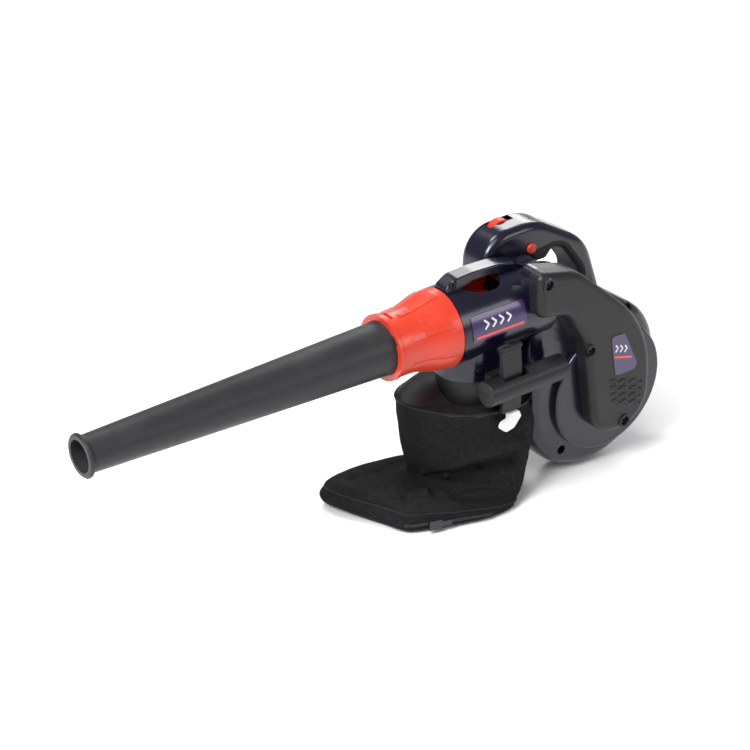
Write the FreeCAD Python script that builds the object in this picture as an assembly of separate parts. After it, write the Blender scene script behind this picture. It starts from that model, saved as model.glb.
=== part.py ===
"""Electric leaf blower and vacuum with a long nozzle, a rotary mode collar and a dust bag.

Design frame while modelling: X runs rearward from the nozzle mouth, Y across the tool (the fan side
is -Y, the motor side +Y), Z up, with Y = Z = 0 on the nozzle axis.  At the end everything is moved so
that the origin is the centre of the base of the whole object's box.  Units are millimetres.
"""

import FreeCAD, Part
import math
import os

V = FreeCAD.Vector

# ---- driving dimensions -------------------------------------------------------------------------
# nozzle tube
NOZZLE_LEN = 340.0          # mouth to the front of the mode collar
NOZZLE_INSERT = 32.0        # length held inside the collar
NOZZLE_TIP_R = 18.4
NOZZLE_BASE_R = 28.0
NOZZLE_WALL = 2.2
MOUTH_LAND = 10.0           # straight bore behind the mouth
LIP_R = 21.8
LIP_LEN = 5.0
LUG_LEN = 4.0
LUG_TALL = 1.9
LUG_ANGLE = 28.0            # lugs from straight up
NOZZLE_TWIST = 24.0         # travel from locked to the entry slots

# bag hood and latch clip
HOOD_CX = 436.0
HOOD_HALF_LEN = 67.0
HOOD_HALF_WID = 47.0
HOOD_TOP_Z = -61.0
HOOD_RIM_Z = -84.0
CLIP_X0 = 451.0
CLIP_X1 = 475.0

# mode collar and valve drum
COLLAR_LEN = 72.0
COLLAR_FRONT_R = 34.5
COLLAR_RIBS = 7
DRUM_R = 38.0
DRUM_WALL = 2.2
DRUM_SOCKET = 15.0          # length of the drum held by the collar
TURN_GAP = 0.5              # running gap of the drum in the housing
FACE_GAP = 0.8              # gap between faces that turn past each other

# front housing
BARREL_R = 42.0
BARREL_LEN = 119.0
BULKHEAD = 90.0             # behind the barrel's front face
SHELL = 3.0
ARCH_HALF = 9.5
VENT_HALF = 22.0

# bag port under the barrel
PORT_X = 45.5               # port centre behind the barrel's front face
PORT_HALF_LEN = 44.5
PORT_HALF_WID = 34.5
PORT_Z = -56.0              # lower rim of the port skirt
ADAPTER_PLUG = 8.0
ADAPTER_LOW_Z = -90.5
ADAPTER_WALL = 2.4
ADAPTER_TAPER = 4.0

# fan casing
FAN_X = 610.0
FAN_Z = -118.0
CASE_FACE_Y = -33.0
CASE_BACK_Y = 10.0
CASE_ROUND = 14.0
CASE_FRONT_X = 508.0
CASE_REAR_X = 684.0
CASE_BOTTOM_Z = -210.0
FLOOR_Z = -214.0
PAD_Y = -40.0
PAD_BACK_Y = -27.0
PLATEAU_R = 72.0
COVER_Y = -58.0
COVER_WALL = 3.0
EYE_R = 33.0
IMPELLER_R = 66.0
IMPELLER_BLADES = 9

# motor
MOTOR_R = 47.0
MOTOR_WALL = 2.5
MOTOR_LEN = 82.0
CAP_LEN = 9.8
SHAFT_R = 4.0
BEARING_R = 9.5
BEARING_LEN = 7.0
STATOR_LEN = 34.0
ARMATURE_R = 21.0
AIR_GAP = 0.6
COMMUTATOR_R = 11.0

# handle
HANDLE_Y0 = 14.0
HANDLE_Y1 = 54.0
HANDLE_WALL = 3.5
HANDLE_ROUND = 9.0
TRIGGER_HALF = 9.0
DIAL_R = 14.5
DIAL_HALF = 4.5
DIAL_Y = 41.5
BUTTON_R = 5.5

# bag and latch
HOOD_LOW_Z = -91.0
BAG_CLEAR = 1.0
LATCH_Y = -53.0
LATCH_Z = -60.0
LATCH_R = 13.6
LATCH_X0 = 431.0
LATCH_X1 = 531.0

# fasteners and fits
SCREW_HEAD_R = 3.6
SCREW_R = 1.9
RECESS_R = 5.2
POST_R = 6.0
PIN_R = 2.0
RUN_CLEAR = 0.05            # radial clearance of a pin or shaft in its bore
SLIDE_CLEAR = 0.3

# ---- places worked out from them ----------------------------------------------------------------
COLLAR_X = NOZZLE_LEN
COLLAR_REAR = COLLAR_X + COLLAR_LEN
BARREL_X = COLLAR_REAR + FACE_GAP
BARREL_END = BARREL_X + BARREL_LEN
BULKHEAD_X = BARREL_X + BULKHEAD
PORT_CX = BARREL_X + PORT_X
LUG_X = COLLAR_X + 14.0
DRUM_X = COLLAR_REAR - DRUM_SOCKET
DRUM_REAR = BULKHEAD_X - 4.0
MOTOR_END_Y = CASE_BACK_Y + MOTOR_LEN
FRONT_BEARING_Y = CASE_BACK_Y + MOTOR_WALL
REAR_BEARING_Y = MOTOR_END_Y
STATOR_Y = FRONT_BEARING_Y + BEARING_LEN + 20.0
STATOR_END_Y = STATOR_Y + STATOR_LEN
COMMUTATOR_Y = STATOR_END_Y + 7.0
HANDLE_Y = (HANDLE_Y0 + HANDLE_Y1) / 2.0
CORE_R = MOTOR_R - MOTOR_WALL

CASE_OUTLINE = [(CASE_FRONT_X, 36, 18), (548, 36, 40), (CASE_REAR_X, -60, 76),
                (CASE_REAR_X, CASE_BOTTOM_Z, 86), (CASE_FRONT_X, CASE_BOTTOM_Z, 88)]
PORT_SCREWS = ((BARREL_X + 26.0, -43.0),)
COVER_OUTLINE = [(493, 57, 9), (497, 5, 9), (536, -3, 20), (560, -42, 24), (579, -164, 36),
                 (654, -164, 40), (653, -50, 130), (548, 43, 60)]
HANDLE_OUTLINE = [(479, 4, 6), (481, 69, 36), (552, 71, 60), (621, 30, 60), (643, -32, 40),
                  (643, -94, 14), (532, -72, 6), (532, 4, 6)]
FINGER_OUTLINE = [(524, 25, 4), (564, 25, 4), (572, 34, 5), (585, 33, 18), (611, -2, 30),
                  (613, -46, 14), (520, -46, 4), (520, 12, 4)]

CASE_SCREWS = ((642, -36), (554, -179), (654, -175))
COVER_SCREWS = ((505, 42), (566, -53), (619, -154))
ARCH_SCREWS = ((BARREL_X + 9.0, 48.0), (BARREL_X + 87.0, 45.2))
HANDLE_SCREWS = ((489, 38), (590, 40), (627, -25), (628, -60), (545, -59))
DIAL_AT = (521.0, 58.0)
TRIGGER_PIVOT = (536.5, 36.0)
BUTTON_AT = (542.0, 44.0)


# ---- helpers ------------------------------------------------------------------------------------
def cylinder(r, length, at, along):
    return Part.makeCylinder(r, length, V(*at), V(*along))


def tube(r_out, r_in, length, at, along):
    return cylinder(r_out, length, at, along).cut(cylinder(r_in, length, at, along))


def block(x0, x1, y0, y1, z0, z1):
    return Part.makeBox(x1 - x0, y1 - y0, z1 - z0, V(x0, y0, z0))


def corner_arc(before, corner, after, r):
    """The two tangent points and the middle of an arc of radius r that rounds a corner."""
    a = (before - corner).normalize()
    b = (after - corner).normalize()
    half = a.getAngle(b) / 2.0
    reach = r / math.tan(half)
    middle = corner + (a + b).normalize() * (r / math.sin(half) - r)
    return corner + a * reach, middle, corner + b * reach


def rounded_wire(corners, to_space):
    """A closed wire through (u, v, radius) corners; to_space turns (u, v) into a point."""
    points = [to_space(u, v) for u, v, _ in corners]
    edges, n, ends = [], len(points), []
    for i, (_, _, r) in enumerate(corners):
        if r:
            ends.append(corner_arc(points[i - 1], points[i], points[(i + 1) % n], r))
        else:
            ends.append((points[i], None, points[i]))
    for i, (start, middle, end) in enumerate(ends):
        if middle is not None:
            edges.append(Part.Arc(start, middle, end).toShape())
        following = ends[(i + 1) % n][0]
        if end.distanceToPoint(following) > 1e-6:
            edges.append(Part.LineSegment(end, following).toShape())
    return Part.Wire(edges)


def plate_xz(corners, y0, y1):
    """A slab with a rounded outline in the XZ plane between y0 and y1."""
    wire = rounded_wire(corners, lambda u, v: V(u, y0, v))
    return Part.Face(wire).extrude(V(0, y1 - y0, 0))


def plate_xy(corners, z0, z1):
    wire = rounded_wire(corners, lambda u, v: V(u, v, z0))
    return Part.Face(wire).extrude(V(0, 0, z1 - z0))


def plate_yz(corners, x0, x1):
    wire = rounded_wire(corners, lambda u, v: V(x0, u, v))
    return Part.Face(wire).extrude(V(x1 - x0, 0, 0))


def turned(profile, axis_point, axis, to_space):
    """A solid of revolution of the closed profile [(along, radius), ...]."""
    points = [to_space(a, r) for a, r in profile]
    wire = Part.makePolygon(points + points[:1])
    return Part.Face(wire).revolve(V(*axis_point), V(*axis), 360)


def turned_x(profile):
    return turned(profile, (0, 0, 0), (1, 0, 0), lambda a, r: V(a, 0, r))


def turned_fan(profile):
    """Turned about the fan axis; along is y."""
    return turned(profile, (FAN_X, 0, FAN_Z), (0, 1, 0), lambda a, r: V(FAN_X, a, FAN_Z + r))


def fan_cylinder(r, y0, y1):
    return cylinder(r, y1 - y0, (FAN_X, y0, FAN_Z), (0, 1, 0))


def fan_ring(r_out, r_in, y0, y1):
    return fan_cylinder(r_out, y0, y1).cut(fan_cylinder(r_in, y0, y1))


def oval(half_len, half_wid, z0, z1, cx, grow_len=0.0, grow_wid=0.0):
    """An oval prism with full round ends; the top may be larger by the grow values."""
    def wire(hl, hw, z):
        ends = [(cx - hl, -hw, hw * 0.92), (cx + hl, -hw, hw * 0.92),
                (cx + hl, hw, hw * 0.92), (cx - hl, hw, hw * 0.92)]
        return rounded_wire(ends, lambda u, v: V(u, v, z))
    low = wire(half_len, half_wid, z0)
    high = wire(half_len + grow_len, half_wid + grow_wid, z1)
    return Part.makeLoft([low, high], True, True)


def fillet(shape, r, wanted):
    edges = [e for e in shape.Edges if wanted(e)]
    return shape.makeFillet(r, edges)


def edge_on_y(y):
    def test(e):
        box = e.BoundBox
        return abs(box.YMin - y) < 1e-3 and abs(box.YMax - y) < 1e-3
    return test


def joined(shapes):
    first, rest = shapes[0], shapes[1:]
    return first.multiFuse(rest).removeSplitter() if rest else first


def biggest(shape):
    return max(shape.Solids, key=lambda s: s.Volume)


def many(shapes):
    return Part.makeCompound(shapes)


def around_x(shape, count, start=0.0, span=360.0):
    out = []
    for i in range(count):
        one = shape.copy()
        one.rotate(V(0, 0, 0), V(1, 0, 0), start + span * i / count)
        out.append(one)
    return out


def around_fan(shape, count, start=0.0):
    out = []
    for i in range(count):
        one = shape.copy()
        one.rotate(V(FAN_X, 0, FAN_Z), V(0, 1, 0), start + 360.0 * i / count)
        out.append(one)
    return out


def screw(at, along, length, head_r=SCREW_HEAD_R, shank_r=SCREW_R):
    """A pan-head screw: at is the under side of its head, along points down the shank."""
    direction = V(*along).normalize()
    head_h = head_r * 0.7
    start = V(*at)
    head = Part.makeCylinder(head_r, head_h, start - direction * head_h, direction)
    socket = Part.makeCylinder(head_r * 0.45, head_h * 0.6, start - direction * head_h, direction)
    shank = Part.makeCylinder(shank_r, length, start, direction)
    return head.cut(socket).fuse(shank).removeSplitter()


# ---- nozzle -------------------------------------------------------------------------------------
def nozzle_tube():
    end = NOZZLE_LEN + NOZZLE_INSERT
    bore_tip = NOZZLE_TIP_R - NOZZLE_WALL
    bore_base = NOZZLE_BASE_R - NOZZLE_WALL
    body = turned_x([
        (0, bore_tip), (0, LIP_R - 1.5), (1.5, LIP_R), (LIP_LEN - 1.5, LIP_R),
        (LIP_LEN, LIP_R - 1.5), (LIP_LEN, NOZZLE_TIP_R), (NOZZLE_LEN, NOZZLE_BASE_R),
        (end, NOZZLE_BASE_R), (end, bore_base), (NOZZLE_LEN, bore_base), (MOUTH_LAND, bore_tip)])
    reach = NOZZLE_BASE_R + LUG_TALL
    lug = block(LUG_X, LUG_X + LUG_LEN, -4.0, 4.0, NOZZLE_BASE_R - 1.0, reach + 2.0)
    lug = lug.common(cylinder(reach, LUG_LEN, (LUG_X, 0, 0), (1, 0, 0)))
    return joined([body] + around_x(lug, 2, LUG_ANGLE))


# ---- mode collar and valve drum -----------------------------------------------------------------
def collar_outline(extra=0.0):
    """Outer profile of the collar, (x, radius)."""
    x, r = COLLAR_X, COLLAR_FRONT_R + extra
    return [(x, r), (x + 4.0, r), (x + 5.0, r - 1.0), (x + 16.0, r - 1.2), (x + 24.0, r - 1.1),
            (x + 32.0, r - 0.5), (x + 40.0, r + 1.2), (x + 48.0, r + 3.5), (x + 55.0, r + 5.4),
            (x + 62.0, BARREL_R - 0.9 + extra), (COLLAR_REAR, BARREL_R + extra)]


def collar_ribs():
    """Long grip ribs with round ends, a little proud of the flare."""
    half = 2.8
    x0 = COLLAR_X + 17.0
    x1 = COLLAR_REAR - 8.0
    inside = [(x, r) for x, r in reversed(collar_outline(-0.6))]
    skin = turned_x(collar_outline(0.8) + inside)
    bar = plate_xy([(x0, -half, half * 0.9), (x1, -half, half * 0.9),
                    (x1, half, half * 0.9), (x0, half, half * 0.9)], 20.0, 60.0)
    return [one.common(skin) for one in around_x(bar, COLLAR_RIBS, 8.6)]


def mode_collar():
    socket_r = NOZZLE_BASE_R + SLIDE_CLEAR
    socket_end = COLLAR_X + NOZZLE_INSERT + 1.0
    inner = [(COLLAR_REAR, DRUM_R), (DRUM_X, DRUM_R), (DRUM_X, DRUM_R - DRUM_WALL),
             (DRUM_X - 3.0, DRUM_R - DRUM_WALL - 1.0), (socket_end + 4.0, 31.0),
             (socket_end, NOZZLE_BASE_R - NOZZLE_WALL),
             (socket_end - 0.5, NOZZLE_BASE_R - NOZZLE_WALL), (socket_end - 0.5, socket_r),
             (COLLAR_X, socket_r)]
    body = turned_x(collar_outline() + inner)
    lug_path_r = NOZZLE_BASE_R + LUG_TALL + SLIDE_CLEAR
    body = body.cut(tube(lug_path_r, socket_r - 0.5, LUG_LEN + 2 * SLIDE_CLEAR,
                         (LUG_X - SLIDE_CLEAR, 0, 0), (1, 0, 0)))
    entry = block(COLLAR_X - 1.0, LUG_X + LUG_LEN + SLIDE_CLEAR, -5.0, 5.0, socket_r - 1.0, lug_path_r)
    body = body.cut(many(around_x(entry, 2, LUG_ANGLE + NOZZLE_TWIST)))
    slot = block(COLLAR_X + 6.5, COLLAR_X + 10.5, -7.0, 7.0, lug_path_r, COLLAR_FRONT_R + 3.0)
    body = body.cut(slot)
    return joined([body] + collar_ribs())


def window_cut():
    x0 = BARREL_X + 10.0
    x1 = BARREL_X + 68.0
    return plate_xy([(x0, -26, 12), (x1, -26, 12), (x1, 26, 12), (x0, 26, 12)], 0.0, 60.0)


def valve_drum():
    length = DRUM_REAR - DRUM_X
    wall = tube(DRUM_R, DRUM_R - DRUM_WALL, length, (DRUM_X, 0, 0), (1, 0, 0)).cut(window_cut())
    x0 = BARREL_X + 4.0
    baffle = plate_xz([(x0, 37.5, 0), (x0 + 5.0, 37.5, 0), (DRUM_REAR - 22.0, 1.2, 20),
                       (DRUM_REAR, 1.2, 0), (DRUM_REAR, -1.2, 0), (DRUM_REAR - 23.0, -1.2, 22),
                       (x0, 34.0, 0)], -40.0, 40.0)
    inside = cylinder(DRUM_R - 0.5, length, (DRUM_X, 0, 0), (1, 0, 0))
    return joined([wall, baffle.common(inside)])


def drum_seal():
    return tube(DRUM_R - 1.0, DRUM_R - 7.0, 2.6, (BULKHEAD_X - 2.6, 0, 0), (1, 0, 0))


# ---- casing -------------------------------------------------------------------------------------
def port_oval(shrink, z0, z1):
    return oval(PORT_HALF_LEN - shrink, PORT_HALF_WID - shrink, z0, z1, PORT_CX)


def arch():
    x = BARREL_X
    top = [(x + 0.6, 36, 0), (x + 0.6, 45.5, 5), (x + 13, 53, 14), (x + 36, 54.5, 60),
           (x + 68, 53.5, 60), (x + 92, 48, 26), (x + 114, 35, 6), (x + 112, 28, 0),
           (x + 80, 28, 0), (x + 73, 39, 6), (x + 62, 45.5, 16), (x + 34, 46.5, 20),
           (x + 19, 41, 6), (x + 14, 32, 0)]
    body = plate_xz(top, -ARCH_HALF, ARCH_HALF)

    def crown(e):
        side = edge_on_y(-ARCH_HALF)(e) or edge_on_y(ARCH_HALF)(e)
        return side and e.CenterOfMass.z > 47.5
    return body.makeFillet(2.0, [e for e in body.Edges if crown(e)])


def vent_cut():
    x = BARREL_X
    lens = [(x + 11, -4, 3), (x + 34, -VENT_HALF, 26), (x + 66, -VENT_HALF, 14),
            (x + 66, VENT_HALF, 14), (x + 34, VENT_HALF, 26), (x + 11, 4, 3)]
    return plate_xy(lens, 10.0, 62.0)


def barrel_cylinder(r, x0, x1):
    return cylinder(r, x1 - x0, (x0, 0, 0), (1, 0, 0))


def case_outer():
    body = plate_xz(CASE_OUTLINE, CASE_FACE_Y, CASE_BACK_Y)
    body = fillet(body, CASE_ROUND, edge_on_y(CASE_FACE_Y))
    return fillet(body, CASE_ROUND, edge_on_y(CASE_BACK_Y))


def pad_outer():
    disc = fan_cylinder(PLATEAU_R, PAD_Y, CASE_FACE_Y + 3.0)
    disc = fillet(disc, 3.0, edge_on_y(PAD_Y))
    return [disc, plate_xz(COVER_OUTLINE, PAD_Y, PAD_BACK_Y)]


def case_cavity():
    x0 = CASE_FRONT_X + SHELL
    x1 = CASE_REAR_X - SHELL
    low = CASE_BOTTOM_Z + SHELL
    outline = [(x0, 32, 15), (547, 32, 38), (x1, -62, 73), (x1, low, 83), (x0, low, 85)]
    room = plate_xz(outline, CASE_FACE_Y + SHELL, CASE_BACK_Y - SHELL)
    room = fillet(room, 9.0, edge_on_y(CASE_FACE_Y + SHELL))
    room = fillet(room, 9.0, edge_on_y(CASE_BACK_Y - SHELL))
    return room.cut(block(500, BARREL_END + 3.0, -60, 60, -6.0, 60.0)).cut(case_posts())


def case_posts():
    span = CASE_BACK_Y - CASE_FACE_Y
    return many([cylinder(POST_R, span, (x, CASE_FACE_Y, z), (0, 1, 0)) for x, z in CASE_SCREWS])


def manifold():
    x0 = BULKHEAD_X + SHELL
    room = barrel_cylinder(BARREL_R - SHELL, x0, BARREL_END - SHELL)
    floor = block(x0 - 1, BARREL_END, -60, 60, -6.0, -3.0)
    return room.cut(floor)


def screw_cut(x, z, face, seat, depth):
    """Recess and hole for a screw driven along +Y."""
    return joined([cylinder(RECESS_R, seat - face, (x, face, z), (0, 1, 0)),
                   cylinder(SCREW_R, depth, (x, seat - 1.0, z), (0, 1, 0))])


def casing():
    outer = joined([barrel_cylinder(BARREL_R, BARREL_X, BARREL_END), port_oval(0, PORT_Z, -12.0),
                    case_outer()] + pad_outer())
    below = block(BARREL_X, BULKHEAD_X, -60, 60, PORT_Z, -8.0)
    holes = [barrel_cylinder(DRUM_R + TURN_GAP, BARREL_X, BULKHEAD_X),
             port_oval(SHELL, PORT_Z, -8.0).common(below), manifold(), case_cavity(), vent_cut(),
             block(BULKHEAD_X - 1, BULKHEAD_X + SHELL + 1, -25, 25, 3.0, 27.0),
             block(BULKHEAD_X - 1, BULKHEAD_X + SHELL + 1, -25, 25, -30.0, -9.0),
             block(BULKHEAD_X + 4.0, BARREL_END - 4.0, -50, -20, 6.0, 30.0),
             fan_cylinder(EYE_R, PAD_Y - 1.0, CASE_FACE_Y + SHELL + 1.0),
             fan_cylinder(SHAFT_R + 4.0, CASE_BACK_Y - SHELL - 1.0, CASE_BACK_Y + 1.0)]
    holes += [screw_cut(x, z, CASE_FACE_Y - 2.0, -23.0, 28.0) for x, z in CASE_SCREWS]
    holes += [cylinder(SCREW_R, 14.0, (x, PAD_Y - 1.0, z), (0, 1, 0)) for x, z in COVER_SCREWS]
    holes += [cylinder(SCREW_R, 16.0, (x, -PORT_HALF_WID - 1.0, z), (0, 1, 0))
              for x, z in PORT_SCREWS]
    holes += [cylinder(RECESS_R, 2.0, (x, -PORT_HALF_WID, z), (0, 1, 0)) for x, z in PORT_SCREWS]
    return outer.cut(many(holes))


def half(shape, side):
    """The -Y half for side -1 and the +Y half for side +1, split on the middle plane."""
    y0, y1 = (-200.0, 0.0) if side < 0 else (0.0, 200.0)
    return shape.common(block(-10.0, 800.0, y0, y1, -300.0, 300.0))


def vent_bridge():
    body = arch().cut(barrel_cylinder(BARREL_R, BARREL_X - 5, BARREL_END + 5))
    cuts = [joined([cylinder(RECESS_R - 0.6, 3.0, (x, -ARCH_HALF, z), (0, 1, 0)),
                    cylinder(SCREW_R, 15.0, (x, -ARCH_HALF, z), (0, 1, 0))])
            for x, z in ARCH_SCREWS]
    return body.cut(many(cuts))


def duct_cover():
    outer = plate_xz(COVER_OUTLINE, COVER_Y, PAD_Y)
    face = Part.Face(rounded_wire(COVER_OUTLINE, lambda u, v: V(u, COVER_Y + COVER_WALL, v)))
    room = face.makeOffset2D(-COVER_WALL).extrude(V(0, PAD_Y - COVER_Y, 0))
    outer = fillet(outer, 8.0, edge_on_y(COVER_Y))
    posts = [cylinder(7.5, PAD_Y - COVER_Y + 1.5, (x, COVER_Y - 1.5, z), (0, 1, 0))
             for x, z in COVER_SCREWS]
    trim = plate_xz(COVER_OUTLINE, COVER_Y - 3.0, PAD_Y)
    body = joined([outer.cut(room)] + [p.common(trim) for p in posts])
    cuts = [barrel_cylinder(BARREL_R, BARREL_X, BARREL_END)]
    cuts += [screw_cut(x, z, COVER_Y - 2.0, COVER_Y + 4.0, 18.0) for x, z in COVER_SCREWS]
    return body.cut(many(cuts))


def eye_guard():
    y0 = PAD_Y + 1.0
    rim = fan_ring(EYE_R, EYE_R - 2.5, y0, y0 + 3.0)
    rings = [fan_ring(r + 1.0, r - 1.0, y0 + 0.5, y0 + 2.5) for r in (9.0, 17.0, 25.0)]
    bar = block(FAN_X - EYE_R + 1, FAN_X + EYE_R - 1, y0 + 0.5, y0 + 2.5, FAN_Z - 1, FAN_Z + 1)
    return joined([rim] + rings + around_fan(bar, 4))


def body_plate():
    """Curved badge on the barrel's fan side."""
    x0 = BARREL_X + 10.0
    ring = tube(BARREL_R + 0.8, BARREL_R, 68.0, (x0, 0, 0), (1, 0, 0))
    window = plate_xz([(x0, 23, 3), (x0 + 68, 23, 3), (x0 + 68, -4, 3), (x0, -4, 3)], -60, -20)
    return ring.common(window)


def cover_plate():
    outline = [(593, -45, 4), (612, -46, 5), (632, -88, 4), (628, -94, 4), (602, -94, 5)]
    return plate_xz(outline, COVER_Y - 0.7, COVER_Y)


# ---- fan and motor ------------------------------------------------------------------------------
def impeller():
    back = fan_cylinder(IMPELLER_R, -3.0, -1.0)
    hub = fan_cylinder(11.0, -24.0, -1.0)
    blade = block(FAN_X - 1.0, FAN_X + 1.0, -24.0, -2.5, FAN_Z + 24.0, FAN_Z + IMPELLER_R + 6.0)
    blade.rotate(V(FAN_X, 0, FAN_Z + 24.0), V(0, 1, 0), 28.0)
    blade = blade.common(fan_cylinder(IMPELLER_R, -30, 0))
    body = joined([back, hub] + around_fan(blade, IMPELLER_BLADES))
    return body.cut(fan_cylinder(SHAFT_R, -40, 10))


def hexagon(across, y0, y1):
    r = across / math.sqrt(3.0)
    points = [V(FAN_X + r * math.cos(math.radians(60 * i)), y0,
                FAN_Z + r * math.sin(math.radians(60 * i))) for i in range(7)]
    return Part.Face(Part.makePolygon(points)).extrude(V(0, y1 - y0, 0))


def fan_nut():
    return hexagon(12.0, -28.5, -24.0).cut(fan_cylinder(SHAFT_R, -40, 10))


def shaft():
    return turned_fan([(-29.5, 0), (-29.5, SHAFT_R - 0.6), (-28.9, SHAFT_R),
                       (REAR_BEARING_Y + BEARING_LEN - 1.0, SHAFT_R),
                       (REAR_BEARING_Y + BEARING_LEN - 1.0, 0)])


def cooling_fan():
    y0 = FRONT_BEARING_Y + BEARING_LEN + 2.0
    back = fan_ring(38.0, SHAFT_R, y0, y0 + 1.6)
    hub = fan_ring(8.0, SHAFT_R, y0, y0 + 8.0)
    vane = block(FAN_X - 0.8, FAN_X + 0.8, y0 + 1.0, y0 + 8.0, FAN_Z + 16.0, FAN_Z + 37.5)
    return joined([back, hub] + around_fan(vane, 12))


def armature_core():
    core = fan_ring(ARMATURE_R, SHAFT_R, STATOR_Y, STATOR_END_Y)
    slot = block(FAN_X - 0.9, FAN_X + 0.9, STATOR_Y - 1, STATOR_END_Y + 1,
                 FAN_Z + 11.0, FAN_Z + ARMATURE_R + 1)
    return core.cut(many(around_fan(slot, 14)))


def armature_windings():
    ends = [fan_ring(18.5, 8.0, STATOR_Y - 6.0, STATOR_Y),
            fan_ring(18.5, 8.0, STATOR_END_Y, STATOR_END_Y + 6.0)]
    return many(ends)


def commutator():
    body = fan_ring(COMMUTATOR_R, SHAFT_R, COMMUTATOR_Y, COMMUTATOR_Y + 11.0)
    slot = block(FAN_X - 0.3, FAN_X + 0.3, COMMUTATOR_Y - 1, COMMUTATOR_Y + 12,
                 FAN_Z + COMMUTATOR_R - 1.0, FAN_Z + COMMUTATOR_R + 1)
    return body.cut(many(around_fan(slot, 20)))


def stator_core():
    ring = fan_ring(CORE_R, 33.0, STATOR_Y, STATOR_END_Y)
    bore_r = ARMATURE_R + AIR_GAP
    poles = fan_ring(34.0, bore_r, STATOR_Y, STATOR_END_Y).common(
        block(FAN_X - 14.0, FAN_X + 14.0, STATOR_Y, STATOR_END_Y, FAN_Z - 60, FAN_Z + 60))
    return joined([ring, poles])


def field_coils():
    """One winding round each pole, standing out at both ends of the core."""
    coils = []
    for side in (-1, 1):
        z0, z1 = sorted((FAN_Z + side * 22.6, FAN_Z + side * 27.0))
        outer = block(FAN_X - 18.0, FAN_X + 18.0, STATOR_Y - 6.0, STATOR_END_Y + 6.0, z0, z1)
        outer = outer.makeFillet(1.5, [e for e in outer.Edges if e.Length < 8.0])
        inner = block(FAN_X - 14.2, FAN_X + 14.2, STATOR_Y - 0.2, STATOR_END_Y + 0.2, z0 - 1, z1 + 1)
        coils.append(outer.cut(inner))
    return many(coils)


def bearing(y0):
    body = fan_ring(BEARING_R, SHAFT_R + RUN_CLEAR, y0, y0 + BEARING_LEN)
    groove = fan_ring(7.8, 5.8, y0 - 1.0, y0 + 0.5)
    return body.cut(groove)


def brush_holders():
    """Two brass channels lying along X with a bore for the brush."""
    y0 = COMMUTATOR_Y + 1.5
    parts = []
    for side in (-1, 1):
        x0, x1 = sorted((FAN_X + side * 16.0, FAN_X + side * (CORE_R - 2.5)))
        outer = block(x0, x1, y0, y0 + 8.0, FAN_Z - 5.5, FAN_Z + 5.5)
        inner = block(x0 - 1, x1 + 1, y0 + 1.2, y0 + 6.8, FAN_Z - 4.2, FAN_Z + 4.2)
        parts.append(outer.cut(inner))
    return many(parts)


def brush_block(side, near, far):
    y0 = COMMUTATOR_Y + 1.5
    x0, x1 = sorted((FAN_X + side * near, FAN_X + side * far))
    return block(x0, x1, y0 + 1.4, y0 + 6.6, FAN_Z - 4.0, FAN_Z + 4.0)


def carbon_brushes():
    turn = fan_cylinder(COMMUTATOR_R + SLIDE_CLEAR, COMMUTATOR_Y - 2, COMMUTATOR_Y + 14)
    return many([brush_block(side, COMMUTATOR_R - 1.0, 27.0).cut(turn) for side in (-1, 1)])


def coil(r, wire_r, pitch, height, at, along):
    """A helical spring starting at the point and running along the direction."""
    helix = Part.makeHelix(pitch, height, r)
    ring = Part.Wire(Part.makeCircle(wire_r, V(r, 0, 0), V(0, 1, 0)))
    spring = Part.Wire(helix.Edges).makePipeShell([ring], True, True)
    spring.Placement = FreeCAD.Placement(V(*at), FreeCAD.Rotation(V(0, 0, 1), V(*along)))
    return spring


def close_wound(r, wire_r, turns, height, at, along):
    """A torsion spring whose turns touch, so that it is one ribbed sleeve round its axis."""
    rise = height / turns
    corners = [(r - wire_r, 0.0)]
    for k in range(turns):
        corners += [(r + 0.4 * wire_r, k * rise), (r + wire_r, (k + 0.5) * rise)]
    corners += [(r + 0.4 * wire_r, height), (r - wire_r, height)]
    wire = Part.makePolygon([V(u, 0, v) for u, v in corners + corners[:1]])
    spring = Part.Face(wire).revolve(V(0, 0, 0), V(0, 0, 1), 360)
    spring.Placement = FreeCAD.Placement(V(*at), FreeCAD.Rotation(V(0, 0, 1), V(*along)))
    return spring


def brush_springs():
    y = COMMUTATOR_Y + 5.5
    return many([coil(1.9, 0.35, 1.8, 12.6, (FAN_X + side * 27.8, y, FAN_Z), (side, 0, 0))
                 for side in (-1, 1)])


def motor_vents(y0, y1, count):
    slot = block(FAN_X - 1.8, FAN_X + 1.8, y0, y1, FAN_Z + MOTOR_R - 6.0, FAN_Z + MOTOR_R + 2.0)
    return many(around_fan(slot, count, 180.0 / count))


def motor_housing():
    can = fan_ring(MOTOR_R, CORE_R, CASE_BACK_Y, MOTOR_END_Y)
    front = fan_ring(CORE_R + 0.5, SHAFT_R + 2.0, CASE_BACK_Y, FRONT_BEARING_Y)
    hub = fan_ring(BEARING_R + 3.0, BEARING_R, FRONT_BEARING_Y, FRONT_BEARING_Y + BEARING_LEN)
    flange = fan_ring(MOTOR_R + 7.0, CORE_R, CASE_BACK_Y, CASE_BACK_Y + 3.0)
    inlets = motor_vents(CASE_BACK_Y + 12.0, CASE_BACK_Y + 24.0, 24)
    bolts = [fan_cylinder(SCREW_R, CASE_BACK_Y - 1, CASE_BACK_Y + 5).translated(V(*offset))
             for offset in bolt_offsets(MOTOR_R + 3.4, 45.0)]
    return joined([can, front, hub, flange]).cut(inlets).cut(many(bolts))


def bolt_offsets(r, start):
    angles = [math.radians(start + 90.0 * i) for i in range(4)]
    return [(r * math.cos(a), 0.0, r * math.sin(a)) for a in angles]


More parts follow.
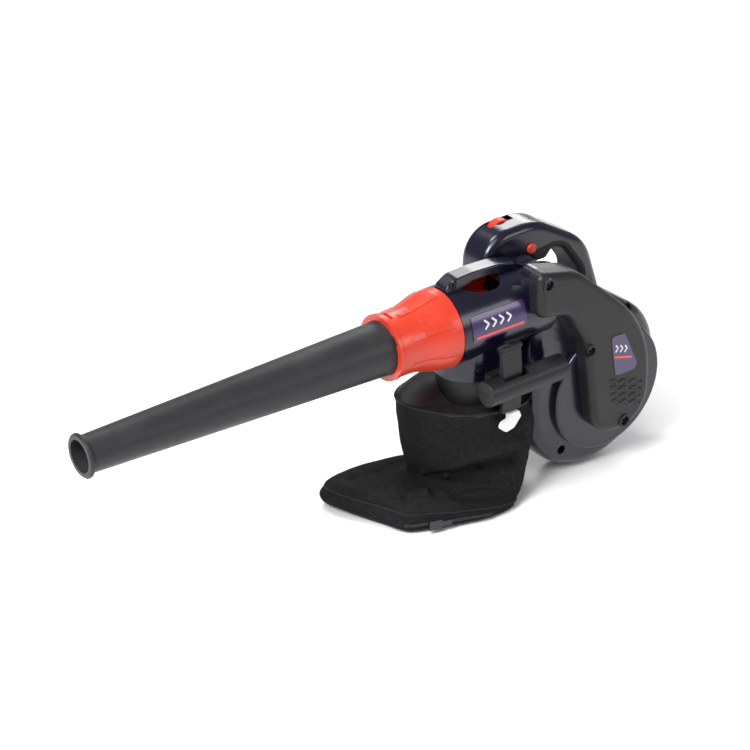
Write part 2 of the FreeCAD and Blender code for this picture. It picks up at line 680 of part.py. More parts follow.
def motor_end_cap():
    y0, y1 = MOTOR_END_Y, MOTOR_END_Y + CAP_LEN
    shell = fan_cylinder(MOTOR_R, y0, y1)
    shell = fillet(shell, 4.0, edge_on_y(y1))
    shell = shell.cut(fan_cylinder(CORE_R, y0 - 1.0, y1 - MOTOR_WALL))
    hub = fan_ring(BEARING_R + 3.0, BEARING_R, y0, y1 - MOTOR_WALL + 0.1)
    posts = [fan_cylinder(5.4, y0, y1 - 1.0).translated(V(*o)) for o in bolt_offsets(38.5, 0.0)]
    slot = block(FAN_X - 1.6, FAN_X + 1.6, y1 - 5.0, y1 + 1.0, FAN_Z + 16.0, FAN_Z + 32.0)
    body = joined([shell, hub] + posts).cut(many(around_fan(slot, 20, 9.0)))
    holes = [joined([fan_cylinder(SCREW_R, y0 - 1.0, y1 + 1.0),
                     fan_cylinder(RECESS_R - 1.2, y1 - 2.2, y1 + 1.0)]).translated(V(*o))
             for o in bolt_offsets(38.5, 0.0)]
    return body.cut(many(holes))


def stand_foot():
    y0 = CASE_BACK_Y + 22.0
    outline = [(582, -150, 3), (638, -150, 3), (652, FLOOR_Z, 5), (568, FLOOR_Z, 5)]
    body = plate_xz(outline, y0, MOTOR_END_Y - 4.0)
    return body.cut(fan_cylinder(MOTOR_R, 0, 200))


def cable_inlet():
    """Ribbed strain relief leaving the motor housing rearward; its bore is left open."""
    y = CASE_BACK_Y + 66.0
    x = FAN_X + CORE_R
    profile = [(0.0, 3.6), (0.0, 8.5), (6.0, 8.5), (6.0, 6.2)]
    for i in range(4):
        a = 8.0 + 4.5 * i
        profile += [(a, 6.2), (a, 7.4 - 0.3 * i), (a + 2.6, 7.4 - 0.3 * i), (a + 2.6, 6.2)]
    profile += [(27.0, 5.2), (27.0, 3.6)]
    points = [V(x + a, y, FAN_Z + r) for a, r in profile]
    face = Part.Face(Part.makePolygon(points + points[:1]))
    body = face.revolve(V(0, y, FAN_Z), V(1, 0, 0), 360)
    return body.cut(fan_cylinder(MOTOR_R, 0, 200))


# ---- handle -------------------------------------------------------------------------------------
def handle_solid():
    """The closed grip loop before it is hollowed and split."""
    loop = plate_xz(HANDLE_OUTLINE, HANDLE_Y0, HANDLE_Y1)
    for y in (HANDLE_Y0, HANDLE_Y1):
        loop = fillet(loop, HANDLE_ROUND, edge_on_y(y))
    hole = plate_xz(FINGER_OUTLINE, HANDLE_Y0 - 1.0, HANDLE_Y1 + 1.0)
    loop = loop.cut(hole)

    def inner_edge(e):
        on_face = edge_on_y(HANDLE_Y0)(e) or edge_on_y(HANDLE_Y1)(e)
        return on_face and 532.5 < e.CenterOfMass.x < 614.0 and -47.0 < e.CenterOfMass.z < 36.0
    return loop.makeFillet(5.0, [e for e in loop.Edges if inner_edge(e)])


def handle_room():
    """Space inside the grip, less the screw posts."""
    w = HANDLE_WALL
    outer = [(479 + w, 0, 5), (481 + w, 69 - w, 32), (551, 71 - w, 56), (618, 30, 56),
             (643 - w, -32, 36), (643 - w, -94, 10), (532 + w, -72, 3), (532 + w, 0, 3)]
    hole = [(520 + w, 25 + w, 4), (564 + w, 25 + w, 4), (572, 34 + w, 5), (585 + w, 33 + w, 20),
            (611 + w, -2, 30), (613 + w, -46 - w, 14), (515, -46 - w, 4), (515, 12, 4)]
    y0, y1 = HANDLE_Y0 + w, HANDLE_Y1 - w
    room = plate_xz(outer, y0, y1).cut(plate_xz(hole, y0 - 1, y1 + 1))
    posts = [cylinder(4.6, y1 - y0, (x, y0, z), (0, 1, 0)) for x, z in HANDLE_SCREWS]
    return room.cut(many(posts))


def liner_zone():
    """The inner side of the grip that carries the soft liner."""
    wide = [(548, 40, 3), (572, 43, 8), (590, 39, 24), (619, 0, 34), (621, -40, 8),
            (600, -40, 3), (600, -20, 3), (590, 20, 8), (548, 20, 3)]
    return plate_xz(wide, HANDLE_Y0 - 2, HANDLE_Y1 + 2)


def handle_cuts():
    w = HANDLE_WALL
    x, z = BUTTON_AT
    cuts = [block(532.4, 562.0, HANDLE_Y - TRIGGER_HALF - 0.6, HANDLE_Y + TRIGGER_HALF + 0.6, 15, 30),
            cylinder(BUTTON_R + SLIDE_CLEAR, w + 2.0, (x, HANDLE_Y0 - 1.0, z), (0, 1, 0)),
            block(DIAL_AT[0] - DIAL_R - 1, DIAL_AT[0] + DIAL_R + 1, DIAL_Y - DIAL_HALF - 0.6,
                  DIAL_Y + DIAL_HALF + 0.6, 60, 90),
            barrel_cylinder(BARREL_R, BARREL_X, BARREL_END), fan_cylinder(MOTOR_R, 0, 100),
            fan_cylinder(MOTOR_R + 7.3, 0, CASE_BACK_Y + 4.0)]
    cuts += [joined([cylinder(RECESS_R, 7.0, (sx, HANDLE_Y1 - 5.0, sz), (0, 1, 0)),
                     cylinder(SCREW_R, 30.0, (sx, HANDLE_Y1 - 30.0, sz), (0, 1, 0))])
             for sx, sz in HANDLE_SCREWS]
    return many(cuts)


def handle_parts():
    shell = handle_solid().cut(handle_room()).cut(handle_cuts())
    zone = liner_zone()
    liner = shell.common(zone)
    body = shell.cut(zone)
    left = body.common(block(400, 700, 0, HANDLE_Y, -150, 150))
    right = body.common(block(400, 700, HANDLE_Y, 100, -150, 150))
    return biggest(left), biggest(right), biggest(liner)


def trigger():
    outline = [(532.6, 33, 2), (532.6, 40, 2), (541, 40.5, 4), (556, 38, 3), (558, 29, 2),
               (556, 10, 3), (548, 11, 8), (541, 19, 8), (537, 27, 3)]
    body = plate_xz(outline, HANDLE_Y - TRIGGER_HALF, HANDLE_Y + TRIGGER_HALF)
    px, pz = TRIGGER_PIVOT
    return body.cut(cylinder(PIN_R + RUN_CLEAR, 60.0, (px, 0, pz), (0, 1, 0)))


def trigger_pin():
    w = HANDLE_WALL
    px, pz = TRIGGER_PIVOT
    return cylinder(PIN_R, HANDLE_Y1 - HANDLE_Y0 - 2 * w, (px, HANDLE_Y0 + w, pz), (0, 1, 0))


def trigger_spring():
    px, pz = TRIGGER_PIVOT
    return close_wound(3.1, 0.45, 5, 5.2, (px, HANDLE_Y + TRIGGER_HALF + 1.0, pz), (0, 1, 0))


def lock_button():
    x, z = BUTTON_AT
    y0 = HANDLE_Y0 - 2.6
    head = cylinder(BUTTON_R, HANDLE_WALL + 2.6 + 0.4, (x, y0, z), (0, 1, 0))
    head = fillet(head, 1.2, edge_on_y(y0))
    flange = cylinder(BUTTON_R + 1.2, 1.2, (x, HANDLE_Y0 + HANDLE_WALL + 0.4, z), (0, 1, 0))
    return joined([head, flange])


def lock_spring():
    """A bowed leaf of spring steel behind the button."""
    x, z = BUTTON_AT
    y0 = HANDLE_Y0 + HANDLE_WALL + 1.6 + 0.4
    bow = [(x - 1.3, y0, 0), (x + 1.3, y0, 0), (x + 4.4, y0 + 3.0, 0), (x + 3.6, y0 + 3.0, 0),
           (x + 1.0, y0 + 0.5, 0), (x - 1.0, y0 + 0.5, 0), (x - 3.6, y0 + 3.0, 0), (x - 4.4, y0 + 3.0, 0)]
    return plate_xy(bow, z - 2.0, z + 2.0)


def speed_dial():
    x, z = DIAL_AT
    y0 = DIAL_Y - DIAL_HALF
    wheel = cylinder(DIAL_R, 2 * DIAL_HALF, (x, y0, z), (0, 1, 0))
    axle = cylinder(PIN_R, 2 * DIAL_HALF + 9.0, (x, y0 - 4.5, z), (0, 1, 0))
    notch = cylinder(0.9, 40.0, (x + DIAL_R + 0.2, HANDLE_Y - 20, z), (0, 1, 0))
    notches = []
    for i in range(30):
        one = notch.copy()
        one.rotate(V(x, 0, z), V(0, 1, 0), 12.0 * i)
        notches.append(one)
    return joined([wheel.cut(many(notches)), axle])


def speed_module():
    """Dial bracket with the control board under it."""
    x, z = DIAL_AT
    y0, y1 = DIAL_Y - DIAL_HALF - 4.0, DIAL_Y + DIAL_HALF + 4.0
    board = block(x - 9.0, x + 9.0, y0, y1, z - DIAL_R - 6.0, z - DIAL_R - 3.0)
    lugs = [block(x - 4.5, x + 4.5, a, a + 2.5, z - DIAL_R - 4.0, z + 4.5) for a in (y0, y1 - 2.5)]
    body = joined([board] + lugs)
    return body.cut(cylinder(PIN_R + RUN_CLEAR, 40.0, (x, HANDLE_Y - 20, z), (0, 1, 0)))


def switch_module():
    body = block(551, 570, HANDLE_Y - 9, HANDLE_Y + 9, 45, 55.5)
    plunger = block(553, 557, HANDLE_Y - 2, HANDLE_Y + 2, 42.5, 45)
    tabs = [block(570, 573, y, y + 1.0, 46, 50) for y in (HANDLE_Y - 6, HANDLE_Y + 5)]
    return joined([body, plunger] + tabs)


def capacitor():
    return block(553, 566, HANDLE_Y - 9, HANDLE_Y + 9, -66, -53)


# ---- bag port, bag and latch --------------------------------------------------------------------
def bag_adapter():
    gap = SHELL + 0.2
    top = PORT_Z + ADAPTER_PLUG
    half_len, half_wid = PORT_HALF_LEN - gap, PORT_HALF_WID - gap
    straight = oval(half_len, half_wid, PORT_Z - 2.0, top, PORT_CX)
    taper = oval(half_len - ADAPTER_TAPER, half_wid - ADAPTER_TAPER, ADAPTER_LOW_Z, PORT_Z - 2.0,
                 PORT_CX, ADAPTER_TAPER, ADAPTER_TAPER)
    w = ADAPTER_WALL
    bore = oval(half_len - w, half_wid - w, PORT_Z - 2.0, top + 1, PORT_CX)
    cone = oval(half_len - ADAPTER_TAPER - w, half_wid - ADAPTER_TAPER - w, ADAPTER_LOW_Z,
                PORT_Z - 2.0, PORT_CX, ADAPTER_TAPER, ADAPTER_TAPER)
    return joined([straight, taper]).cut(bore).cut(cone)


def adapter_seal():
    gap = SHELL + 0.2
    z = PORT_Z + ADAPTER_PLUG
    outer = oval(PORT_HALF_LEN - gap, PORT_HALF_WID - gap, z, z + 2.4, PORT_CX)
    inner = oval(PORT_HALF_LEN - gap - 3.0, PORT_HALF_WID - gap - 3.0, z - 1, z + 3.4, PORT_CX)
    return outer.cut(inner)


def hood_ring(half_len, half_wid, cx, z):
    return Part.Wire(Part.Ellipse(V(cx, 0, z), half_len, half_wid).toShape())


def hood_outer(shrink=0.0, drop=0.0):
    top = hood_ring(46.0 - shrink, 12.0 - shrink, HOOD_CX + 16.0, HOOD_TOP_Z - drop)
    middle = hood_ring(62.0 - shrink, 34.0 - shrink, HOOD_CX + 3.0, HOOD_TOP_Z - 9.0 - drop)
    rim = hood_ring(HOOD_HALF_LEN - shrink, HOOD_HALF_WID - shrink, HOOD_CX, HOOD_RIM_Z - drop)
    dome = Part.makeLoft([top, middle, rim], True, False)
    skirt = Part.Face(rim).extrude(V(0, 0, HOOD_LOW_Z - HOOD_RIM_Z))
    return joined([dome, skirt])


def bag_hood():
    gap = SHELL + 0.2
    hole = oval(PORT_HALF_LEN - gap, PORT_HALF_WID - gap, ADAPTER_LOW_Z - 10, PORT_Z, PORT_CX)
    return biggest(hood_outer().cut(hood_outer(2.5, 3.0)).cut(hole))


def bag_ring(points, z):
    return rounded_wire(points, lambda u, v: V(u, v, z))


def dust_bag():
    """Soft bag as one closed lump: a neck under the hood and a lobe lying on the floor."""
    top = HOOD_LOW_Z - BAG_CLEAR
    low = FLOOR_Z
    wires = [
        bag_ring([(371, -41, 36), (501, -41, 36), (501, 41, 36), (371, 41, 36)], top),
        bag_ring([(380, -40, 34), (500, -42, 34), (500, 42, 34), (380, 42, 34)], top - 36),
        bag_ring([(382, -30, 28), (494, -46, 30), (498, 44, 30), (380, 50, 28)], low + 56),
        bag_ring([(342, -14, 28), (488, -54, 30), (496, 48, 30), (326, 84, 30)], low + 40),
        bag_ring([(326, -14, 28), (490, -62, 30), (496, 50, 30), (308, 104, 30)], low + 20),
        bag_ring([(337, -18, 26), (486, -58, 28), (490, 46, 28), (320, 97, 28)], low)]
    return Part.makeLoft(wires, True, False)


def latch_barrel():
    length = LATCH_X1 - LATCH_X0
    body = cylinder(LATCH_R, length, (LATCH_X0, LATCH_Y, LATCH_Z), (1, 0, 0))
    ends = [e for e in body.Edges if e.BoundBox.XLength < 1e-3]
    body = body.makeFillet(1.2, ends)
    near = LATCH_Y + LATCH_R - 5.0
    bracket = block(LATCH_X0 + 14, LATCH_X1 - 44, near, -PORT_HALF_WID + 0.0, LATCH_Z + 4.2,
                    LATCH_Z + 12.0)
    skirt = port_oval(0, PORT_Z - 2, -10.0)
    return joined([body, bracket.cut(skirt)])


def barrel_slots(body):
    """Slot for the clip, its pin and the grip ribs round the front of the barrel."""
    slot = block(CLIP_X0 - 0.8, CLIP_X1 + 7.2, LATCH_Y - 7.5, LATCH_Y + 6.5, LATCH_Z - 20,
                 LATCH_Z + 20)
    pin = cylinder(PIN_R, 44.0, (CLIP_X0 - 8.0, LATCH_Y, LATCH_Z), (1, 0, 0))
    return body.cut(slot).cut(pin)


def bag_latch():
    """Clip seen from the side: thumb pad, lever through the barrel, nose that holds the catch."""
    y, z = LATCH_Y, LATCH_Z
    outline = [(y - 4.5, z - 5, 2), (y - 3.0, z + 22, 6), (y - 1.0, z + 40, 4), (y - 4.0, z + 46, 2),
               (y + 2.0, z + 47.5, 2), (y + 4.0, z + 40, 4), (y + 2.6, z + 22, 6), (y + 3.6, z + 4, 3),
               (y + 3.6, z - 6, 3), (y + 1.0, z - 16, 3), (y + 0.6, z - 24.0, 0.8), (y + 2.2, z - 25.2, 0.8),
               (y + 2.2, z - 28.5, 1), (y - 3.5, z - 28.5, 2)]
    body = plate_yz(outline, CLIP_X0, CLIP_X1)
    return body.cut(cylinder(PIN_R + RUN_CLEAR, 60.0, (CLIP_X0 - 20, y, z), (1, 0, 0)))


def latch_spring():
    return close_wound(3.1, 0.45, 5, 5.2, (CLIP_X1 + 0.9, LATCH_Y, LATCH_Z), (1, 0, 0))


def latch_pin():
    return cylinder(PIN_R, CLIP_X1 - CLIP_X0 + 19.0, (CLIP_X0 - 7.5, LATCH_Y, LATCH_Z), (1, 0, 0))


def bag_hook():
    """White catch on the hood's side, shaped like a small boot."""
    outline = [(459, -90, 2), (472, -90, 2), (475, -97, 3), (466, -108, 4), (456, -110, 4),
               (449, -105, 3), (452, -99, 2), (459, -97, 2)]
    body = plate_xz(outline, -58.0, -44.0).cut(hood_outer())
    return biggest(body.cut(block(440, 480, -52.5, -40, -120, HOOD_LOW_Z + 0.5)))


def bag_zip():
    """Zip tape lying just off the bag's lower front edge."""
    outline = [(354.0, -26.2, 0), (465.0, -58.2, 0), (464.5, -60.2, 0), (353.5, -28.2, 0)]
    return plate_xy(outline, FLOOR_Z + 6.0, FLOOR_Z + 16.0)


def zip_slider():
    body = block(-7.0, 7.0, -1.4, 1.4, -5.5, 5.5)
    tab = block(5.0, 18.0, -1.0, 0.8, -3.0, 3.0)
    both = joined([body, tab])
    both.rotate(V(0, 0, 0), V(0, 0, 1), -16.1)
    both.translate(V(381.5, -39.0, FLOOR_Z + 11.0))
    return both


# ---- screws -------------------------------------------------------------------------------------
def case_screws():
    return many([screw((x, -23.0, z), (0, 1, 0), 26.0) for x, z in CASE_SCREWS])


def cover_screws():
    return many([screw((x, COVER_Y + 4.0, z), (0, 1, 0), 26.0) for x, z in COVER_SCREWS])


def arch_screws():
    return many([screw((x, -ARCH_HALF + 2.6, z), (0, 1, 0), 10.0) for x, z in ARCH_SCREWS])


def handle_screws():
    return many([screw((x, HANDLE_Y1 - 5.0, z), (0, -1, 0), 24.0) for x, z in HANDLE_SCREWS])


def motor_screws():
    y = MOTOR_END_Y + CAP_LEN - 2.2
    return many([screw((FAN_X + o[0], y, FAN_Z + o[2]), (0, -1, 0), 6.0, 3.2, SCREW_R)
                 for o in bolt_offsets(38.5, 0.0)])


def flange_screws():
    y = CASE_BACK_Y + 3.0
    return many([screw((FAN_X + o[0], y, FAN_Z + o[2]), (0, -1, 0), 2.9, 3.0, SCREW_R)
                 for o in bolt_offsets(MOTOR_R + 3.4, 45.0)])


def port_screws():
    return many([screw((x, -PORT_HALF_WID + 2.0, z), (0, 1, 0), 10.0) for x, z in PORT_SCREWS])


# ---- build --------------------------------------------------------------------------------------
def build():
    case = casing()
    handle_left, handle_right, handle_liner = handle_parts()
    return {
        "nozzle_tube": nozzle_tube(),
        "mode_collar": mode_collar(),
        "valve_drum": valve_drum(),
        "drum_seal": drum_seal(),
        "body_left": half(case, -1),
        "body_right": half(case, 1),
        "vent_bridge": vent_bridge(),
        "duct_cover": duct_cover(),
        "eye_guard": eye_guard(),
        "body_plate": body_plate(),
        "cover_plate": cover_plate(),
        "impeller": impeller(),
        "fan_nut": fan_nut(),
        "shaft": shaft(),
        "cooling_fan": cooling_fan(),
        "armature_core": armature_core(),
        "armature_windings": armature_windings(),
        "commutator": commutator(),
        "stator_core": stator_core(),
        "field_coils": field_coils(),
        "front_bearing": bearing(FRONT_BEARING_Y),
        "rear_bearing": bearing(REAR_BEARING_Y),
        "brush_holders": brush_holders(),
        "carbon_brushes": carbon_brushes(),
        "brush_springs": brush_springs(),
        "motor_housing": motor_housing(),
        "motor_end_cap": motor_end_cap(),
        "stand_foot": stand_foot(),
        "cable_inlet": cable_inlet(),
        "handle_left": handle_left,
        "handle_right": handle_right,
        "handle_liner": handle_liner,
        "trigger": trigger(),
        "trigger_pin": trigger_pin(),
        "trigger_spring": trigger_spring(),
        "lock_button": lock_button(),
        "lock_spring": lock_spring(),
        "speed_dial": speed_dial(),
        "speed_module": speed_module(),
        "switch_module": switch_module(),
        "capacitor": capacitor(),
        "bag_adapter": bag_adapter(),
        "adapter_seal": adapter_seal(),
        "bag_hood": bag_hood(),
        "dust_bag": dust_bag(),
        "bag_hook": bag_hook(),
        "bag_zip": bag_zip(),
        "zip_slider": zip_slider(),
        "latch_barrel": barrel_slots(latch_barrel()),
        "bag_latch": bag_latch(),
        "latch_pin": latch_pin(),
        "latch_spring": latch_spring(),
        "case_screws": case_screws(),
        "cover_screws": cover_screws(),
        "arch_screws": arch_screws(),
        "handle_screws": handle_screws(),
        "motor_screws": motor_screws(),
        "flange_screws": flange_screws(),
        "port_screws": port_screws(),
    }


def export(nodes):
    """Move everything so the base centre of the whole box is the origin, then write the files."""
    box = Part.makeCompound(list(nodes.values())).optimalBoundingBox(True, False)
    shift = V(-(box.XMin + box.XMax) / 2, -(box.YMin + box.YMax) / 2, -box.ZMin)
    os.makedirs("parts", exist_ok=True)
    for name, shape in nodes.items():
        shape.translate(shift)
        shape.exportStep("parts/" + name + ".step")


export(build())
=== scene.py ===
import math

import bmesh
import bpy
import numpy as np
from bpy.props import FloatProperty, FloatVectorProperty, IntProperty, PointerProperty
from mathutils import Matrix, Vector, noise


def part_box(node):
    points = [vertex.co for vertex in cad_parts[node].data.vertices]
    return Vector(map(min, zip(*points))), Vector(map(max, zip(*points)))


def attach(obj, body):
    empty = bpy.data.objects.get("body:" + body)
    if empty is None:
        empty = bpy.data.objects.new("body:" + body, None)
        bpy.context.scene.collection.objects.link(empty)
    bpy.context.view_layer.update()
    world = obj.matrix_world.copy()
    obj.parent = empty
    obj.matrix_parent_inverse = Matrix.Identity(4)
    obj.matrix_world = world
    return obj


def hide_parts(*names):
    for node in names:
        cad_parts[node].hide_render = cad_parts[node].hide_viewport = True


bl_info = {
    "name": "Leaf Blower",
    "version": (1, 0, 0),
    "blender": (4, 5, 0),
    "location": "View3D > Sidebar > Leaf Blower",
    "description": "Finishes, fabric bag, zip and studio for a leaf blower vacuum",
    "category": "Object",
}

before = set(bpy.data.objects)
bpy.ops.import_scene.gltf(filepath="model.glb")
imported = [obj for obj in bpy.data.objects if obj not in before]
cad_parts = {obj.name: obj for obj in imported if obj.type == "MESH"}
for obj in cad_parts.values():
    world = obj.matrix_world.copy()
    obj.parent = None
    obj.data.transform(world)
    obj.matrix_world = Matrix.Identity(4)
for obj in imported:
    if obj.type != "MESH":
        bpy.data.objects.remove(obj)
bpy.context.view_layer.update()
MM = 0.001

FINISH_OF = {
    "housing": (
        "body_left", "body_right", "vent_bridge", "handle_left", "handle_right",
        "motor_housing", "motor_end_cap",
    ),
    "red": ("mode_collar", "valve_drum", "trigger", "lock_button", "speed_dial"),
    "dark": (
        "duct_cover", "bag_adapter", "latch_barrel", "bag_latch", "eye_guard", "stand_foot",
    ),
    "nozzle": ("nozzle_tube",),
    "label": ("body_plate", "cover_plate"),
    "liner": ("handle_liner", "drum_seal", "adapter_seal", "cable_inlet"),
    "white": ("bag_hook",),
    "screw": ("arch_screws", "case_screws", "cover_screws", "handle_screws", "port_screws"),
    "steel": (
        "flange_screws", "motor_screws", "fan_nut", "shaft", "front_bearing", "rear_bearing",
        "latch_pin", "latch_spring", "lock_spring", "trigger_pin", "trigger_spring",
        "brush_springs",
    ),
    "laminations": ("stator_core", "armature_core"),
    "copper": ("field_coils", "armature_windings", "commutator"),
    "brass": ("brush_holders",),
    "carbon": ("carbon_brushes",),
    "zip_metal": ("zip_slider",),
    "fan": ("impeller", "cooling_fan"),
    "electric": ("switch_module", "speed_module", "capacitor"),
}


def mouth_centre():
    """The middle of the nozzle's mouth, which every length here is measured from."""
    lo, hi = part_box("nozzle_tube")
    return Vector((lo.x, (lo.y + hi.y) / 2, (lo.z + hi.z) / 2))


MOUTH = mouth_centre()


def place(x, y, z):
    """A point in millimetres from the nozzle's mouth, as a place in the frame in metres."""
    return MOUTH + Vector((x, y, z)) * MM


# ---------------------------------------------------------------- meshes


def link(obj):
    bpy.context.scene.collection.objects.link(obj)
    return obj


def mesh_object(name, verts, faces, finish, uvs=None, smooth=True):
    """A mesh object at the origin with one finish, and its loops' UVs in face order if given."""
    mesh = bpy.data.meshes.new(name)
    mesh.from_pydata([tuple(v) for v in verts], [], faces)
    if mesh.validate(clean_customdata=False):
        raise RuntimeError(f"{name}: the mesh had bad faces")
    if uvs is not None:
        layer = mesh.uv_layers.new(name="UVMap")
        layer.data.foreach_set("uv", np.asarray(uvs, np.float32).ravel())
    mesh.materials.append(finish_material(finish))
    if smooth:
        mesh.shade_smooth()
    return link(bpy.data.objects.new(name, mesh))


def catmull(keys, count, closed):
    """A smooth run of count points through the keys, along the first axis."""
    keys = np.asarray(keys, float)
    n = len(keys)
    spans = n if closed else n - 1
    t = np.arange(count) * (spans / count) if closed else np.linspace(0, spans, count)
    i = np.minimum(t.astype(int), spans - 1)
    f = (t - i).reshape((-1,) + (1,) * (keys.ndim - 1))

    def key(j):
        return keys[j % n] if closed else keys[np.clip(j, 0, n - 1)]

    a, b, c, d = key(i - 1), key(i), key(i + 1), key(i + 2)
    return 0.5 * (
        2 * b + (c - a) * f + (2 * a - 5 * b + 4 * c - d) * f**2 + (3 * b - a - 3 * c + d) * f**3
    )


def grid_normals(grid, closed=True):
    """Unit normals of a grid of points whose columns run round it."""
    if closed:
        across = np.roll(grid, -1, 1) - np.roll(grid, 1, 1)
    else:
        across = np.gradient(grid, axis=1)
    down = np.gradient(grid, axis=0)
    n = np.cross(down, across)
    return n / np.maximum(np.linalg.norm(n, axis=2, keepdims=True), 1e-9)


def sweep(path, radius, sides=10, flat=1.0, up=(0, 0, 1)):
    """Vertices and faces of a round or flattened bead along a path, with closed ends."""
    path = np.asarray(path, float)
    along = np.gradient(path, axis=0)
    along /= np.linalg.norm(along, axis=1, keepdims=True)
    out = np.asarray(up, float) - along * (along @ np.asarray(up, float))[:, None]
    out /= np.linalg.norm(out, axis=1, keepdims=True)
    side = np.cross(along, out)
    turn = np.arange(sides) * 2 * math.pi / sides
    n = len(path)
    taper = np.ones(n)
    taper[0] = taper[-1] = 0.55
    rings = (
        path[:, None]
        + side[:, None] * (np.cos(turn) * radius)[None, :, None] * taper[:, None, None]
        + out[:, None] * (np.sin(turn) * radius * flat)[None, :, None] * taper[:, None, None]
    )
    faces = []
    for r in range(n - 1):
        for c in range(sides):
            d = (c + 1) % sides
            faces.append((r * sides + c, r * sides + d, (r + 1) * sides + d, (r + 1) * sides + c))
    faces.append(tuple(range(sides))[::-1])
    faces.append(tuple((n - 1) * sides + c for c in range(sides)))
    return rings.reshape(-1, 3), faces


def merged(pieces):
    """Several lists of vertices and faces as one."""
    verts, faces = [], []
    for v, f in pieces:
        base = len(verts)
        verts.extend(tuple(p) for p in v)
        faces.extend(tuple(i + base for i in face) for face in f)
    return verts, faces


def hit(node, start, towards):
    """Where a line meets a CAD node's skin, and the way the skin faces there."""
    found, point, normal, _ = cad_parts[node].ray_cast(Vector(start), Vector(towards).normalized())
    if not found:
        raise RuntimeError(f"{node}: nothing there to put the detail on")
    if normal.dot(Vector(towards)) > 0:
        normal = -normal
    return point, normal


# ---------------------------------------------------------------- repeated details


def row_tree():
    """A node tree that sets small rounded or square pieces along an edge path."""
    tree = bpy.data.node_groups.get("Repeated Row")
    if tree:
        return tree
    tree = bpy.data.node_groups.new("Repeated Row", "GeometryNodeTree")
    sockets = (
        ("Geometry", "NodeSocketGeometry"),
        ("Spacing", "NodeSocketFloat"),
        ("Size", "NodeSocketVector"),
        ("Up", "NodeSocketVector"),
        ("Unevenness", "NodeSocketFloat"),
        ("Seed", "NodeSocketInt"),
        ("Square", "NodeSocketBool"),
        ("Finish", "NodeSocketMaterial"),
    )
    for name, kind in sockets:
        tree.interface.new_socket(name, in_out="INPUT", socket_type=kind)
    tree.interface.new_socket("Geometry", in_out="OUTPUT", socket_type="NodeSocketGeometry")
    make, join = tree.nodes.new, tree.links.new
    given = make("NodeGroupInput")
    curve = make("GeometryNodeMeshToCurve")
    join(given.outputs["Geometry"], curve.inputs["Mesh"])
    points = make("GeometryNodeResampleCurve")
    points.mode = "LENGTH"
    join(curve.outputs["Curve"], points.inputs["Curve"])
    join(given.outputs["Spacing"], points.inputs["Length"])
    bead = make("GeometryNodeMeshUVSphere")
    bead.inputs["Segments"].default_value = 10
    bead.inputs["Rings"].default_value = 6
    bead.inputs["Radius"].default_value = 0.5
    box = make("GeometryNodeMeshCube")
    box.inputs["Size"].default_value = (1, 1, 1)
    shape = make("GeometryNodeSwitch")
    shape.input_type = "GEOMETRY"
    join(given.outputs["Square"], shape.inputs["Switch"])
    join(bead.outputs["Mesh"], shape.inputs["False"])
    join(box.outputs["Mesh"], shape.inputs["True"])
    tangent = make("GeometryNodeInputTangent")
    first = make("FunctionNodeAlignRotationToVector")
    first.axis = "X"
    join(tangent.outputs["Tangent"], first.inputs["Vector"])
    second = make("FunctionNodeAlignRotationToVector")
    second.axis = "Z"
    second.pivot_axis = "X"
    join(first.outputs["Rotation"], second.inputs["Rotation"])
    join(given.outputs["Up"], second.inputs["Vector"])
    chance = make("FunctionNodeRandomValue")
    chance.data_type = "FLOAT"
    chance_in = {s.name: s for s in chance.inputs if s.enabled}
    chance_in["Min"].default_value = -1.0
    chance_in["Max"].default_value = 1.0
    join(given.outputs["Seed"], chance_in["Seed"])
    vary = make("ShaderNodeMath")
    vary.operation = "MULTIPLY_ADD"
    value = next(s for s in chance.outputs if s.enabled)
    join(value, vary.inputs[0])
    join(given.outputs["Unevenness"], vary.inputs[1])
    vary.inputs[2].default_value = 1.0
    scale = make("ShaderNodeVectorMath")
    scale.operation = "SCALE"
    join(given.outputs["Size"], scale.inputs[0])
    join(vary.outputs["Value"], scale.inputs["Scale"])
    put = make("GeometryNodeInstanceOnPoints")
    join(points.outputs["Curve"], put.inputs["Points"])
    join(shape.outputs["Output"], put.inputs["Instance"])
    join(second.outputs["Rotation"], put.inputs["Rotation"])
    join(scale.outputs["Vector"], put.inputs["Scale"])
    real = make("GeometryNodeRealizeInstances")
    join(put.outputs["Instances"], real.inputs["Geometry"])
    paint = make("GeometryNodeSetMaterial")
    join(real.outputs["Geometry"], paint.inputs["Geometry"])
    join(given.outputs["Finish"], paint.inputs["Material"])
    out = make("NodeGroupOutput")
    join(paint.outputs["Geometry"], out.inputs["Geometry"])
    return tree


def repeated_row(name, paths, spacing, size, finish, up=(0, 0, 1), uneven=0.0, seed=1, square=False):
    """One plain mesh of small pieces set along the paths, in metres."""
    verts, edges = [], []
    for path in paths:
        base = len(verts)
        verts.extend(tuple(p) for p in path)
        edges.extend((base + i, base + i + 1) for i in range(len(path) - 1))
    mesh = bpy.data.meshes.new(name + " path")
    mesh.from_pydata(verts, edges, [])
    guide = link(bpy.data.objects.new(name + " path", mesh))
    modifier = guide.modifiers.new("Row", "NODES")
    tree = row_tree()
    modifier.node_group = tree
    values = {
        "Spacing": spacing,
        "Size": size,
        "Up": up,
        "Unevenness": uneven,
        "Seed": seed,
        "Square": square,
        "Finish": finish_material(finish),
    }
    for item in tree.interface.items_tree:
        if item.in_out == "INPUT" and item.name in values:
            modifier[item.identifier] = values[item.name]
    bpy.context.view_layer.update()
    shown = guide.evaluated_get(bpy.context.evaluated_depsgraph_get())
    made = bpy.data.meshes.new_from_object(shown)
    guide.modifiers.remove(modifier)
    bpy.data.objects.remove(guide)
    if not made.polygons:
        raise RuntimeError(f"{name}: the row came out empty")
    made.name = name
    if not square:
        made.shade_smooth()
    return link(bpy.data.objects.new(name, made))


# ---------------------------------------------------------------- shader nodes


